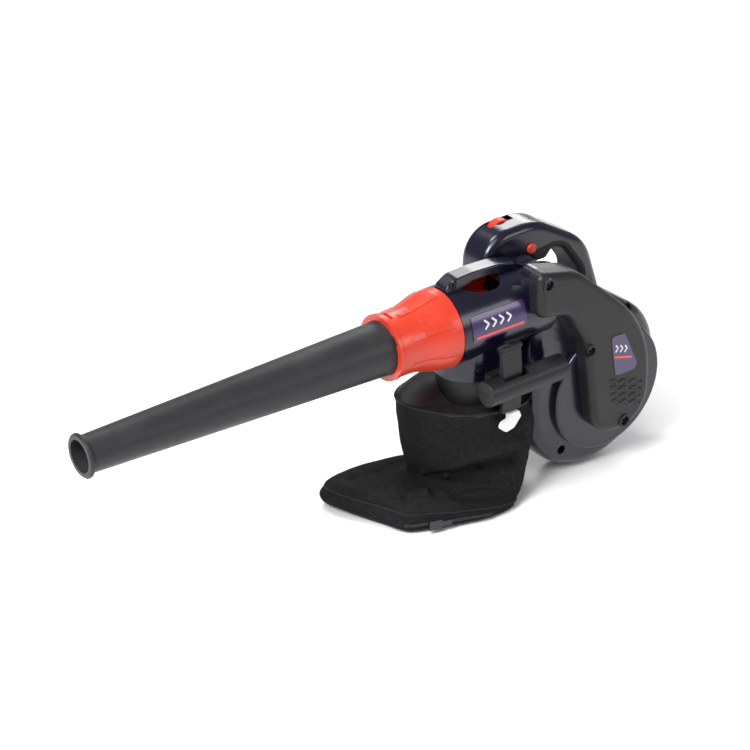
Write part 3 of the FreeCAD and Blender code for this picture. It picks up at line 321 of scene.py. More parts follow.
def feed(tree, socket, value):
    """Join an output to a node's input, or set the input to a plain value."""
    if isinstance(value, bpy.types.NodeSocket):
        tree.links.new(value, socket)
    else:
        socket.default_value = value


def add_math(tree, operation, *values, clamp=False):
    node = tree.nodes.new("ShaderNodeMath")
    node.operation = operation
    node.use_clamp = clamp
    for socket, value in zip(node.inputs, values):
        feed(tree, socket, value)
    return node.outputs["Value"]


def add_range(tree, value, from_min, from_max, to_min=0.0, to_max=1.0):
    node = tree.nodes.new("ShaderNodeMapRange")
    feed(tree, node.inputs["Value"], value)
    feed(tree, node.inputs["From Min"], from_min)
    feed(tree, node.inputs["From Max"], from_max)
    feed(tree, node.inputs["To Min"], to_min)
    feed(tree, node.inputs["To Max"], to_max)
    return node.outputs["Result"]


def add_noise(tree, vector, scale, detail, roughness=0.5):
    node = tree.nodes.new("ShaderNodeTexNoise")
    feed(tree, node.inputs["Vector"], vector)
    feed(tree, node.inputs["Scale"], scale)
    feed(tree, node.inputs["Detail"], detail)
    feed(tree, node.inputs["Roughness"], roughness)
    return node.outputs["Fac"]


def add_mix(tree, factor, a, b):
    """A mix of two colours."""
    node = tree.nodes.new("ShaderNodeMix")
    node.data_type = "RGBA"
    sockets = {s.name: s for s in node.inputs if s.enabled}
    feed(tree, sockets["Factor"], factor)
    feed(tree, sockets["A"], a)
    feed(tree, sockets["B"], b)
    return next(s for s in node.outputs if s.enabled)


def add_bump(tree, height, distance, strength):
    node = tree.nodes.new("ShaderNodeBump")
    feed(tree, node.inputs["Height"], height)
    feed(tree, node.inputs["Distance"], distance)
    feed(tree, node.inputs["Strength"], strength)
    return node.outputs["Normal"]


def add_group(tree, name, vector, setting, value):
    """A shared group's outputs, with its vector joined and its one setting set."""
    node = tree.nodes.new("ShaderNodeGroup")
    node.node_tree = bpy.data.node_groups[name]
    feed(tree, node.inputs["Vector"], vector)
    feed(tree, node.inputs[setting], value)
    return node.outputs


def shader_group(name, setting, default, outputs):
    """A new group with a vector and one setting, which gives plain values."""
    group = bpy.data.node_groups.new(name, "ShaderNodeTree")
    group.interface.new_socket("Vector", in_out="INPUT", socket_type="NodeSocketVector")
    socket = group.interface.new_socket(setting, in_out="INPUT", socket_type="NodeSocketFloat")
    socket.default_value = default
    for label in outputs:
        group.interface.new_socket(label, in_out="OUTPUT", socket_type="NodeSocketFloat")
    return group, group.nodes.new("NodeGroupInput").outputs, group.nodes.new("NodeGroupOutput").inputs


def grain_group():
    """Fine moulded texture: a height, and a slow patchiness for the roughness."""
    group, given, out = shader_group("Moulded Grain", "Size", 0.001, ("Height", "Patches"))
    per_metre = add_math(group, "DIVIDE", 1.0, given["Size"])
    feed(group, out["Height"], add_noise(group, given["Vector"], per_metre, 2.0, roughness=0.6))
    feed(group, out["Patches"], add_noise(group, given["Vector"], 14.0, 4.0))


def wear_group():
    """Light handling marks: thin scratches, and a little dust settled on what faces up."""
    group, given, out = shader_group("Handling Wear", "Amount", 0.2, ("Mask", "Dust"))
    stretch = group.nodes.new("ShaderNodeVectorMath")
    stretch.operation = "MULTIPLY"
    feed(group, stretch.inputs[0], given["Vector"])
    feed(group, stretch.inputs[1], (60.0, 700.0, 500.0))
    lines = add_range(group, add_noise(group, stretch.outputs["Vector"], 1.0, 3.0), 0.68, 0.78)
    area = add_range(group, add_noise(group, given["Vector"], 22.0, 2.0), 0.45, 0.7)
    scratches = add_math(group, "MULTIPLY", lines, area)
    surface = group.nodes.new("ShaderNodeNewGeometry")
    split = group.nodes.new("ShaderNodeSeparateXYZ")
    feed(group, split.inputs["Vector"], surface.outputs["Normal"])
    upward = add_range(group, split.outputs["Z"], 0.4, 1.0)
    dust = add_math(group, "MULTIPLY", upward, area)
    feed(group, out["Mask"], add_math(group, "MULTIPLY", scratches, given["Amount"]))
    feed(group, out["Dust"], add_math(group, "MULTIPLY", dust, given["Amount"]))


def twill_group():
    """Diagonal weave from UVs in metres: thread height and a tone for every thread."""
    group, given, out = shader_group("Twill Weave", "Pitch", 0.0014, ("Height", "Tone"))
    scaled = group.nodes.new("ShaderNodeVectorMath")
    scaled.operation = "SCALE"
    feed(group, scaled.inputs[0], given["Vector"])
    feed(group, scaled.inputs["Scale"], add_math(group, "DIVIDE", math.tau, given["Pitch"]))
    split = group.nodes.new("ShaderNodeSeparateXYZ")
    feed(group, split.inputs["Vector"], scaled.outputs["Vector"])

    def wave(across, down):
        """A sine that runs along one diagonal of the cloth."""
        part = add_math(group, "MULTIPLY", split.outputs["X"], across)
        phase = add_math(group, "MULTIPLY_ADD", split.outputs["Y"], down, part)
        return add_math(group, "SINE", phase)

    rib = wave(1.0, 1.0)
    thread = wave(3.0, -1.0)
    mixed = add_math(group, "MULTIPLY_ADD", thread, 0.45, rib)
    feed(group, out["Height"], add_range(group, mixed, -1.45, 1.45))
    feed(group, out["Tone"], add_noise(group, given["Vector"], 260.0, 3.0))


# ---------------------------------------------------------------- finishes

FINISHES = {
    # colour setting, roughness, metal, coat, grain size mm, grain depth mm, wear
    "housing": ("housing_colour", 0.25, 0.0, 0.12, 1.6, 0.010, 0.10),
    "red": ("red_colour", 0.32, 0.0, 0.08, 1.4, 0.010, 0.10),
    "dark": ("dark_colour", 0.42, 0.0, 0.0, 0.7, 0.030, 0.25),
    "nozzle": ("nozzle_colour", 0.42, 0.0, 0.0, 1.5, 0.220, 0.15),
    "label": ("label_colour", 0.30, 0.0, 0.5, 1.5, 0.004, 0.05),
    "liner": ("liner_colour", 0.62, 0.0, 0.0, 0.8, 0.040, 0.20),
    "hood": ("liner_colour", 0.50, 0.0, 0.0, 0.8, 0.050, 0.20),
    "white": ("white_colour", 0.36, 0.0, 0.0, 1.2, 0.015, 0.25),
    "screw": ("screw_colour", 0.36, 0.6, 0.0, 0.5, 0.010, 0.20),
    "steel": ("steel_colour", 0.32, 1.0, 0.0, 0.5, 0.010, 0.30),
    "laminations": ("lamination_colour", 0.45, 0.9, 0.0, 0.5, 0.020, 0.20),
    "copper": ("copper_colour", 0.30, 1.0, 0.0, 0.5, 0.020, 0.15),
    "brass": ("brass_colour", 0.28, 1.0, 0.0, 0.5, 0.010, 0.15),
    "carbon": ("carbon_colour", 0.70, 0.1, 0.0, 0.5, 0.030, 0.05),
    "zip_metal": ("zip_colour", 0.34, 0.9, 0.0, 0.5, 0.010, 0.30),
    "fan": ("fan_colour", 0.42, 0.0, 0.0, 0.9, 0.020, 0.20),
    "electric": ("electric_colour", 0.50, 0.0, 0.0, 0.8, 0.020, 0.10),
    "stripe": ("stripe_colour", 0.30, 0.0, 0.5, 1.5, 0.004, 0.05),
    "mark": ("mark_colour", 0.30, 0.0, 0.5, 1.5, 0.004, 0.05),
    "thread": ("thread_colour", 0.75, 0.0, 0.0, 0.4, 0.030, 0.05),
}

SATIN = ("dark", "liner", "hood", "nozzle", "thread", "fan", "electric")
SATIN_SPECULAR = 0.32
GLOSS_SPECULAR = 0.5
FABRIC_SPECULAR = 0.07
COAT_ROUGHNESS = 0.12
DUST_ON_FABRIC = (0.030, 0.029, 0.028, 1.0)
# How closely the painted glints on the nozzle are spaced.
GLINTS_PER_METRE = 1100.0


def finish_material(key):
    found = bpy.data.materials.get("finish " + key)
    if not found:
        raise RuntimeError(f"the finish {key} isn't made yet: run the finishes first")
    return found


def new_material(name):
    """A new material with its tree and its Principled shader's inputs."""
    mat = bpy.data.materials.new(name)
    mat.use_nodes = True
    return mat, mat.node_tree, mat.node_tree.nodes["Principled BSDF"].inputs


def paler(colour, gain, add):
    """A colour made lighter, kept within range."""
    return tuple(min(1.0, c * gain + add) for c in colour[:3]) + (1.0,)


def moulded(key, settings):
    """A plastic or metal finish with grain, uneven sheen, fine scratches and dust."""
    colour_name, rough, metal, coat, size, depth, wear = FINISHES[key]
    colour = tuple(getattr(settings, colour_name)) + (1.0,)
    _, tree, shader = new_material("finish " + key)
    coords = tree.nodes.new("ShaderNodeTexCoord").outputs["Object"]
    grain = add_group(tree, "Moulded Grain", coords, "Size", size * MM)
    marks = add_group(tree, "Handling Wear", coords, "Amount", wear)
    sheen = add_range(tree, grain["Patches"], 0.3, 0.7, rough * 0.85, rough * 1.15)
    base = add_mix(tree, marks["Dust"], colour, paler(colour, 1.6, 0.05))
    # On the nozzle, small pale specks are painted into the colour: painted glints of its sparkling grain.
    if key == "nozzle":
        glint_cells = tree.nodes.new("ShaderNodeTexVoronoi")
        feed(tree, glint_cells.inputs["Scale"], GLINTS_PER_METRE)
        feed(tree, glint_cells.inputs["Vector"], coords)
        painted_glint = add_range(tree, glint_cells.outputs["Distance"], 0.16, 0.05)
        base = add_mix(tree, painted_glint, base, paler(colour, 3.5, 0.02))
    feed(tree, shader["Base Color"], base)
    feed(tree, shader["Normal"], add_bump(tree, grain["Height"], depth * MM, 1.0))
    feed(tree, shader["Roughness"], add_math(tree, "ADD", sheen, marks["Mask"], clamp=True))
    feed(tree, shader["Metallic"], metal)
    feed(tree, shader["Coat Weight"], coat)
    feed(tree, shader["Coat Roughness"], COAT_ROUGHNESS)
    feed(tree, shader["Specular IOR Level"], SATIN_SPECULAR if key in SATIN else GLOSS_SPECULAR)


def woven(key, colour, pitch, depth, rough):
    """A woven fabric finish on UVs in metres."""
    _, tree, shader = new_material("finish " + key)
    coords = tree.nodes.new("ShaderNodeTexCoord").outputs
    weave = add_group(tree, "Twill Weave", coords["UV"], "Pitch", pitch)
    marks = add_group(tree, "Handling Wear", coords["Object"], "Amount", 0.25)
    # Painted light on the weave: raised threads are painted lighter as painted highlight and low ones darker
    # as painted shade, varied by each thread's own tone.
    lit = add_math(tree, "MULTIPLY", weave["Height"], weave["Tone"])
    spread = add_math(tree, "MULTIPLY", lit, 1.8, clamp=True)
    shaded = tuple(c * 0.3 for c in colour) + (1.0,)
    raised = tuple(c * 2.8 for c in colour) + (1.0,)
    tone = add_mix(tree, spread, shaded, raised)
    feed(tree, shader["Base Color"], add_mix(tree, marks["Dust"], tone, DUST_ON_FABRIC))
    feed(tree, shader["Normal"], add_bump(tree, weave["Height"], depth, 0.9))
    feed(tree, shader["Roughness"], rough)
    feed(tree, shader["Specular IOR Level"], FABRIC_SPECULAR)


# ---------------------------------------------------------------- settings


def colour(name, value):
    return FloatVectorProperty(
        name=name,
        description=f"Base colour of the {name.lower()}",
        subtype="COLOR",
        size=3,
        min=0.0,
        max=1.0,
        default=value,
    )


def length(name, value, about):
    return FloatProperty(name=name, description=about, unit="LENGTH", subtype="DISTANCE", default=value)


class BlowerFinishes(bpy.types.PropertyGroup):
    """Colours of every finish"""

    housing_colour: colour("Housing", (0.0040, 0.0038, 0.0140))
    red_colour: colour("Red parts", (0.54, 0.036, 0.014))
    dark_colour: colour("Dark parts", (0.012, 0.012, 0.013))
    nozzle_colour: colour("Nozzle", (0.020, 0.020, 0.022))
    label_colour: colour("Label plates", (0.030, 0.012, 0.075))
    stripe_colour: colour("Label stripe", (0.70, 0.040, 0.030))
    mark_colour: colour("Label marks", (0.62, 0.62, 0.66))
    liner_colour: colour("Liner and seals", (0.008, 0.008, 0.009))
    fabric_colour: colour("Bag fabric", (0.0100, 0.0100, 0.0105))
    thread_colour: colour("Thread and piping", (0.009, 0.009, 0.010))
    white_colour: colour("White hook", (0.78, 0.78, 0.78))
    screw_colour: colour("Black screws", (0.016, 0.016, 0.018))
    steel_colour: colour("Steel", (0.55, 0.56, 0.58))
    lamination_colour: colour("Laminations", (0.30, 0.30, 0.31))
    copper_colour: colour("Copper", (0.72, 0.30, 0.14))
    brass_colour: colour("Brass", (0.72, 0.50, 0.20))
    carbon_colour: colour("Carbon", (0.020, 0.020, 0.022))
    zip_colour: colour("Zip metal", (0.060, 0.060, 0.065))
    fan_colour: colour("Fans", (0.055, 0.055, 0.060))
    electric_colour: colour("Electrical modules", (0.045, 0.055, 0.070))


class BlowerBag(bpy.types.PropertyGroup):
    """Sizes of the fabric bag and what is sewn to it"""

    columns: IntProperty(name="Columns", description="Mesh columns round the bag", default=320, min=48)
    rows: IntProperty(name="Rows", description="Mesh rows from rim to floor", default=170, min=40)
    wrinkle: length("Wrinkle depth", 0.0013, "Depth of the small wrinkles")
    weave: length("Weave pitch", 0.0019, "Distance between the weave's ribs")
    stitch: length("Stitch spacing", 0.0032, "Distance between stitches")
    tooth: length("Tooth spacing", 0.0021, "Distance between zip teeth")
    piping: length("Piping radius", 0.0011, "Radius of the piping on the hem")


class BlowerStage(bpy.types.PropertyGroup):
    """Camera, floor and light"""

    azimuth: FloatProperty(
        name="Azimuth", description="Camera turn", subtype="ANGLE", default=math.radians(-36.6)
    )
    elevation: FloatProperty(
        name="Elevation", description="Camera height angle", subtype="ANGLE", default=math.radians(29.66)
    )
    distance: length("Distance", 2.249, "Camera distance from its target")
    lens: FloatProperty(name="Lens", description="Focal length on a 36 mm sensor, in mm", default=109.5)
    light: FloatProperty(name="Light", description="Strength of the main light, in watts", default=40.0)
    daylight: FloatProperty(name="Daylight", description="Strength of the even light", default=1.3)
    floor_colour: colour("Floor", (0.95, 0.95, 0.95))


# ---------------------------------------------------------------- bag

# Rings of the bag from its rim to under its foot, in millimetres from the nozzle's mouth. Each one
# runs from the left side, round the near side, the right and the far side.
RIM = (
    (380, 18, -86), (385, 3, -87), (396, -13, -88), (411, -29, -89),
    (431, -41, -90.5), (456, -47, -91), (484, -50, -91), (502, -38, -90),
    (506, -4, -88), (502, 21, -86), (487, 38, -86), (463, 48, -86),
    (438, 52, -86), (412, 50, -86), (393, 43, -86), (382, 32, -86),
)
HOOD_FOOT_Z = (-79, -86, -90, -92, -92, -92, -91, -89, -84, -76, -68, -62, -59, -61, -66, -72)
# The hood's crown: the share of the way from its foot to the rim, and its rise in millimetres there.
HOOD_RISES = ((0.2, 1.0), (0.45, 3.2), (0.7, 4.2), (0.88, 3.2), (0.97, 1.4))
PORT_X = 458.3
RIM_MIDDLE_X = 445.0

RINGS = (
    [(x, y, z + 1.5) for x, y, z in RIM],
    [(RIM_MIDDLE_X + (x - RIM_MIDDLE_X) * 0.985, y * 0.985, z - 6.5) for x, y, z in RIM],
    [
        (385, 20, -112), (390, 5, -112), (401, -11, -112), (416, -26, -112),
        (434, -38, -112), (458, -47, -112), (487, -52, -112), (506, -41, -112),
        (507, -4, -112), (504, 22, -112), (489, 40, -112), (464, 50, -112),
        (438, 53, -112), (413, 51, -112), (395, 44, -112), (386, 34, -112),
    ],
    [
        (390, 22, -140), (395, 8, -140), (406, -8, -140), (421, -23, -140),
        (439, -36, -140), (461, -46, -140), (487, -52, -140), (505, -41, -140),
        (507, -4, -140), (503, 22, -140), (487, 40, -140), (462, 49, -140),
        (437, 52, -140), (413, 49, -140), (397, 42, -140), (390, 33, -140),
    ],
    [
        (398, 25, -166), (404, 12, -166), (411, -4, -166), (425, -18, -166),
        (441, -31, -166), (460, -42, -166), (483, -50, -166), (500, -40, -166),
        (504, -4, -166), (498, 22, -166), (483, 39, -166), (459, 47, -166),
        (436, 50, -166), (415, 47, -166), (403, 42, -166), (398, 35, -166),
    ],
    [
        (402, 25, -182), (408, 14, -183), (417, 3, -184), (431, -10, -185),
        (446, -24, -186), (463, -38, -188), (481, -49, -190), (495, -40, -184),
        (498, 0, -182), (492, 22, -182), (479, 38, -182), (458, 47, -182),
        (436, 50, -182), (416, 47, -182), (404, 41, -182), (400, 34, -182),
    ],
    [
        (385, 27, -187), (392, 11, -188), (404, -1, -188), (420, -16, -189),
        (436, -31, -190), (456, -43, -192), (480, -50, -195), (494, -38, -190),
        (497, -1, -188), (492, 24, -188), (479, 41, -188), (458, 51, -188),
        (436, 55, -188), (411, 56, -187), (390, 51, -187), (378, 44, -187),
    ],
    [
        (361, 36, -185), (375, 6, -185), (388, -11, -185), (406, -25, -186),
        (424, -38, -188), (449, -49, -191), (478, -51, -198), (494, -37, -195),
        (497, -2, -193), (493, 25, -192), (480, 43, -191), (458, 55, -189),
        (435, 60, -187), (406, 64, -185), (374, 66, -185), (349, 62, -186),
    ],
    [
        (341, 42, -186), (358, 4, -186), (371, -17, -187), (393, -30, -188),
        (412, -44, -190), (443, -54, -193), (476, -52, -201), (494, -35, -200),
        (498, -3, -198), (494, 25, -196), (481, 45, -194), (458, 58, -190),
        (434, 64, -187), (402, 71, -186), (358, 78, -186), (334, 71, -188),
    ],
    [
        (328, 46, -192), (348, 4, -192), (358, -21, -192), (384, -34, -193),
        (407, -45, -194), (441, -55, -197), (475, -52, -204), (494, -36, -204),
        (499, -4, -202), (495, 25, -200), (481, 46, -199), (458, 60, -196),
        (434, 66, -193), (402, 75, -191), (354, 83, -191), (324, 76, -193),
    ],
    [
        (321, 49, -199), (344, 4, -200), (355, -23, -200), (382, -35.5, -200),
        (406, -45, -201), (440, -54, -203), (474, -51, -207), (493, -36, -207),
        (498, -4, -206), (495, 25, -205), (481, 46, -205), (458, 60, -203),
        (434, 67, -201), (402, 76, -199), (352, 85, -198), (319, 78, -199),
    ],
    [
        (326, 46, -207), (345, 4, -208), (356, -22, -208), (383, -34.5, -208),
        (407, -44, -208), (441, -52, -209), (473, -49, -211), (491, -34, -211),
        (496, -4, -211), (493, 25, -211), (479, 45, -211), (457, 59, -210),
        (433, 66, -209), (402, 75, -207), (354, 83, -207), (322, 77, -207),
    ],
    [
        (338, 42, -213), (353, 4, -213), (364, -16, -213), (387, -28, -213),
        (410, -37, -213), (441, -45, -213.3), (470, -43, -213.4), (486, -30, -213.4),
        (490, -3, -213.4), (487, 23, -213.4), (474, 41, -213.4), (453, 53, -213.3),
        (431, 60, -213), (402, 68, -213), (358, 75, -213), (334, 70, -213),
    ],
    [
        (380, 28, -213.4), (388, 8, -213.4), (398, -4, -213.4), (409, -12, -213.4),
        (421, -18, -213.4), (437, -22, -213.4), (452, -21, -213.4), (461, -14, -213.4),
        (463, 2, -213.4), (460, 16, -213.4), (452, 26, -213.4), (440, 33, -213.4),
        (426, 39, -213.4), (411, 44, -213.4), (394, 48, -213.4), (378, 46, -213.4),
    ],
)

# Folds as two ends, width, depth inward; a negative depth is a ridge.
FOLDS = (
    ((478, -52, -134), (440, -41, -146), 5.5, -4.6),
    ((440, -41, -146), (410, -14, -168), 5.5, -3.4),
    ((472, -48, -164), (440, -31, -170), 13.0, 13.0),
    ((440, -31, -170), (414, -8, -177), 8.0, 5.0),
    ((479, -50, -126), (440, -42, -116), 3.2, 2.4),
    ((481, -51, -131), (448, -44, -128), 2.8, 2.2),
    ((482, -50, -122), (503, -41, -108), 3.4, 3.2),
    ((484, -51, -129), (505, -36, -136), 3.2, 3.4),
    ((485, -51, -137), (501, -38, -158), 4.5, 2.8),
    ((410, -26, -100), (428, -30, -140), 8.0, 1.8),
    ((389, 4, -98), (401, 4, -158), 6.0, 1.8),
    ((434, -40, -100), (430, -33, -132), 7.0, 1.6),
    ((452, -46, -98), (474, -50, -108), 3.5, 2.0),
    ((406, 14, -174), (396, -4, -189), 3.4, -4.4),
    ((413, 4, -176), (402, -12, -190), 3.0, 4.4),
    ((420, -6, -178), (412, -20, -190), 3.6, -4.6),
    ((374, 2, -186), (404, -14, -189), 4.5, 5.4),
    ((404, -14, -189), (430, -22, -191), 4.0, 3.4),
    ((430, -24, -190), (470, -46, -194), 5.0, -2.4),
    ((414, -28, -188), (448, -50, -193), 5.0, 2.2),
    ((350, 62, -186), (366, 4, -187), 6.0, 2.4),
    ((333, 66, -187), (344, 24, -187), 4.0, -1.8),
    ((382, 56, -185), (352, 64, -187), 5.0, 1.8),
    ((398, 40, -186), (372, 34, -185), 4.0, -2.2),
    ((396, 26, -184), (376, 16, -186), 3.4, 2.2),
    ((460, -52, -200), (486, -44, -206), 4.0, 3.0),
    ((500, 10, -110), (504, 6, -170), 6.0, 2.0),
    ((470, 46, -104), (460, 48, -172), 6.0, 2.6),
    ((430, 53, -110), (424, 50, -165), 6.0, -2.2),
    ((398, 44, -102), (410, 48, -160), 5.0, 2.2),
    ((480, 38, -150), (440, 52, -176), 5.0, 2.8),
)

SEAM_X = 478.5
SEAM_TOP_Z = -120.0
SEAM_FOOT_Z = -196.0
WRINKLES_TOP_Z = -92.0
WRINKLES_FOOT_Z = -211.0
FLOOR_Z = -213.7

# Where things are sewn to the bag, counted in rings from the rim.
RIM_STITCH_RING = 0.62
SEAM_RINGS = (2.9, 5.6)
SEAM_MIDDLE_RING = 3.4
HEM_RING = 9.0
ZIP_MIDDLE_RING = 10.17
LOW_PIPING_RING = 11.0
# The zip tape's edges and middle: ring, and height off the skin in millimetres.
ZIP_TAPE = ((9.55, 0.1), (9.8, 0.7), (10.05, 0.9), (10.3, 0.9), (10.55, 0.7), (10.8, 0.1))
# Where along a ring they start and end, counted in its points.
HEM_SPAN = (-3.0, 6.3)
ZIP_SPAN = (1.9, 5.2)


def fold_distance(points, a, b):
    """Each point's distance from the line between a and b."""
    a, b = np.array(a, float), np.array(b, float)
    d = b - a
    t = np.clip(((points - a) @ d) / (d @ d), 0, 1)
    return np.linalg.norm(points - (a + t[..., None] * d), axis=-1)


def bag_surface(settings):
    """The bag's skin as a grid in millimetres from the mouth, and its outward normals."""
    keys = np.array([catmull(ring, settings.columns, True) for ring in RINGS])
    grid = catmull(keys, settings.rows, False)
    normal = grid_normals(grid)
    shift = np.zeros(grid.shape[:2])
    for a, b, width, depth in FOLDS:
        shift -= depth * np.exp(-((fold_distance(grid, a, b) / width) ** 2))
    seam = np.abs(grid[..., 0] - SEAM_X)
    near = (grid[..., 1] < -30) & (grid[..., 2] < SEAM_TOP_Z) & (grid[..., 2] > SEAM_FOOT_Z)
    shift += np.where(near, 0.9 * np.exp(-((seam / 1.1) ** 2)), 0.0)
    amount = settings.wrinkle / MM
    for r in range(grid.shape[0]):
        for c in range(grid.shape[1]):
            x, y, z = grid[r, c]
            below_rim = min(1.0, max(0.0, (WRINKLES_TOP_Z - z) / 20.0))
            above_foot = min(1.0, max(0.0, (z - WRINKLES_FOOT_Z) / 6.0))
            free = below_rim * above_foot
            if free > 0:
                big = noise.noise(Vector((x * 0.022, y * 0.022, z * 0.030 + 7.0)))
                small = noise.ridged_multi_fractal(
                    Vector((x * 0.020 + 3.0, y * 0.020, z * 0.012)), 1.0, 2.0, 3, 1.0, 2.0
                )
                shift[r, c] += free * amount * (1.3 * big + 0.55 * (small - 1.0))
    grid = grid + normal * shift[..., None]
    grid[..., 2] = np.clip(grid[..., 2], FLOOR_Z, None)
    return grid, grid_normals(grid)


def skin(grid, capped=True):
    """Vertices, faces and loop UVs, in metres, of a grid closed round its columns.

    Its two ends are closed as well if it is capped.
    """
    rows, cols = grid.shape[:2]
    points = np.array([place(*p) for p in grid.reshape(-1, 3)]).reshape(grid.shape)
    round_way = np.linalg.norm(np.roll(points, -1, 1) - points, axis=2).mean(0)
    u = np.concatenate([[0.0], np.cumsum(round_way)])
    down_way = np.linalg.norm(np.diff(points, axis=0), axis=2).mean(1)
    v = np.concatenate([[0.0], np.cumsum(down_way)])
    faces, uvs = [], []
    for r in range(rows - 1):
        for c in range(cols):
            d = (c + 1) % cols
            faces.append((r * cols + c, (r + 1) * cols + c, (r + 1) * cols + d, r * cols + d))
            uvs.extend([(u[c], v[r]), (u[c], v[r + 1]), (u[c + 1], v[r + 1]), (u[c + 1], v[r])])
    verts = list(points.reshape(-1, 3))
    for r, order in ((0, 1), (rows - 1, -1)) if capped else ():
        ring = [r * cols + c for c in range(cols)]
        verts.append(points[r].mean(0))
        tip = len(verts) - 1
        for c in range(cols):
            pair = (ring[c], ring[(c + 1) % cols])
            faces.append(pair[::order] + (tip,))
            uvs.extend([(u[c], v[r]), (u[c + 1], v[r]), (u[c], v[r] + 0.02)])
    return verts, faces, uvs


def column_path(grid, normal, row, first, last, lift):
    """Points along one row of the bag between two columns, lifted off the skin, in metres."""
    cols = grid.shape[1]
    keys = [c % cols for c in range(first, last)]
    return [place(*(grid[row, c] + normal[row, c] * lift)) for c in keys]


def at_ring(grid, ring):
    """The grid's row at a ring of the bag."""
    return round(ring * (grid.shape[0] - 1) / (len(RINGS) - 1))


def at_point(grid, point):
    """The grid's column at a point of a ring."""
    return round(point * grid.shape[1] / len(RIM))


class BLOWER_OT_finishes(bpy.types.Operator):
    """Make every finish and paint the hard parts with it"""

    bl_idname = "blower.finishes"
    bl_label = "Finishes"

    def execute(self, context):
        settings = context.scene.blower_finishes
        grain_group()
        wear_group()
        twill_group()
        for key in FINISHES:
            moulded(key, settings)
        woven("fabric", tuple(settings.fabric_colour), context.scene.blower_bag.weave, 0.00055, 0.78)
        woven("tape", tuple(settings.thread_colour), 0.0009, 0.00015, 0.75)
        done = set()
        for key, nodes in FINISH_OF.items():
            for node in nodes:
                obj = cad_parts[node]
                obj.data.materials.clear()
                obj.data.materials.append(finish_material(key))
                done.add(node)
        left = set(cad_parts) - done - {"dust_bag", "bag_hood", "bag_zip"}
        if left:
            raise RuntimeError(f"these parts have no finish: {sorted(left)}")
        return {"FINISHED"}


class BLOWER_OT_bag(bpy.types.Operator):
    """Make the hanging fabric bag with its folds"""

    bl_idname = "blower.bag"
    bl_label = "Fabric Bag"

    def execute(self, context):
        grid, _ = bag_surface(context.scene.blower_bag)
        verts, faces, uvs = skin(grid)
        bag = mesh_object("fabric_bag", verts, faces, "fabric", uvs)
        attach(bag, "body")
        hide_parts("dust_bag")
        return {"FINISHED"}


class BLOWER_OT_hood(bpy.types.Operator):
    """Make the bag's domed hood between the adapter and the rim"""

    bl_idname = "blower.hood"
    bl_label = "Bag Hood"

    def execute(self, context):
        rim = np.array(RIM, float)
        turn = np.radians(180 + 22.5 * np.arange(16))
        foot_x = PORT_X + 40.0 * np.cos(turn)
        foot_y = 30.0 * np.sin(turn)
        foot = np.stack([foot_x, foot_y, np.array(HOOD_FOOT_Z, float)], axis=1)
        rings = [foot]
        for t, rise in HOOD_RISES:
            ring = foot + (rim - foot) * t
            ring[:, 2] += rise * np.clip((rim[:, 2] - foot[:, 2]) / -12.0, 0.1, 1.0)
            rings.append(ring)
        rings.append(rim.copy())
        lip = rim.copy()
        lip[:, 0] = RIM_MIDDLE_X + (lip[:, 0] - RIM_MIDDLE_X) * 0.98
        lip[:, 1] *= 0.98
        lip[:, 2] -= 3.0
        rings.append(lip)
        keys = np.array([catmull(ring, 224, True) for ring in rings])
        grid = catmull(keys, 64, False)
        verts, faces, uvs = skin(grid, capped=False)
        hood = mesh_object("bag_dome", verts, faces, "hood", uvs)
        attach(hood, "body")
        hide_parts("bag_hood")
        return {"FINISHED"}


class BLOWER_OT_sewing(bpy.types.Operator):
    """Make the bag's piping, hem stitches and seam stitches"""

    bl_idname = "blower.sewing"
    bl_label = "Piping and Stitches"

    def execute(self, context):
        settings = context.scene.blower_bag
        grid, normal = bag_surface(settings)
        cols = grid.shape[1]
        hem_row = at_ring(grid, HEM_RING)
        first, last = (at_point(grid, p) for p in HEM_SPAN)
        hem = column_path(grid, normal, hem_row, first, last, 0.3)
        rim = [place(x, y, z + 1.2) for x, y, z in catmull(RIM + RIM[:1], 161, False)]
        low = column_path(grid, normal, at_ring(grid, LOW_PIPING_RING), first, last, 0.2)
        parts = [
            sweep(hem, settings.piping),
            sweep(rim, settings.piping * 0.8),
            sweep(low, settings.piping * 0.7),
        ]
        verts, faces = merged(parts)
        piping = mesh_object("bag_piping", verts, faces, "thread")
        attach(piping, "body")
        above = column_path(grid, normal, hem_row - 5, first, last, 0.15)
        rim_row = column_path(grid, normal, at_ring(grid, RIM_STITCH_RING), 0, cols + 1, 0.15)
        middle = grid[at_ring(grid, SEAM_MIDDLE_RING), : cols // 2, 0]
        column = int(np.argmin(np.abs(middle - (SEAM_X - 3.3))))
        seam = [
            place(*(grid[r, column] + normal[r, column] * 0.15))
            for r in range(*(at_ring(grid, ring) for ring in SEAM_RINGS))
        ]
        stitches = repeated_row(
            "bag_stitches", [above, rim_row, seam], settings.stitch,
            (0.0021, 0.0006, 0.0006), "thread", uneven=0.12, seed=4,
        )
        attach(stitches, "body")
        return {"FINISHED"}


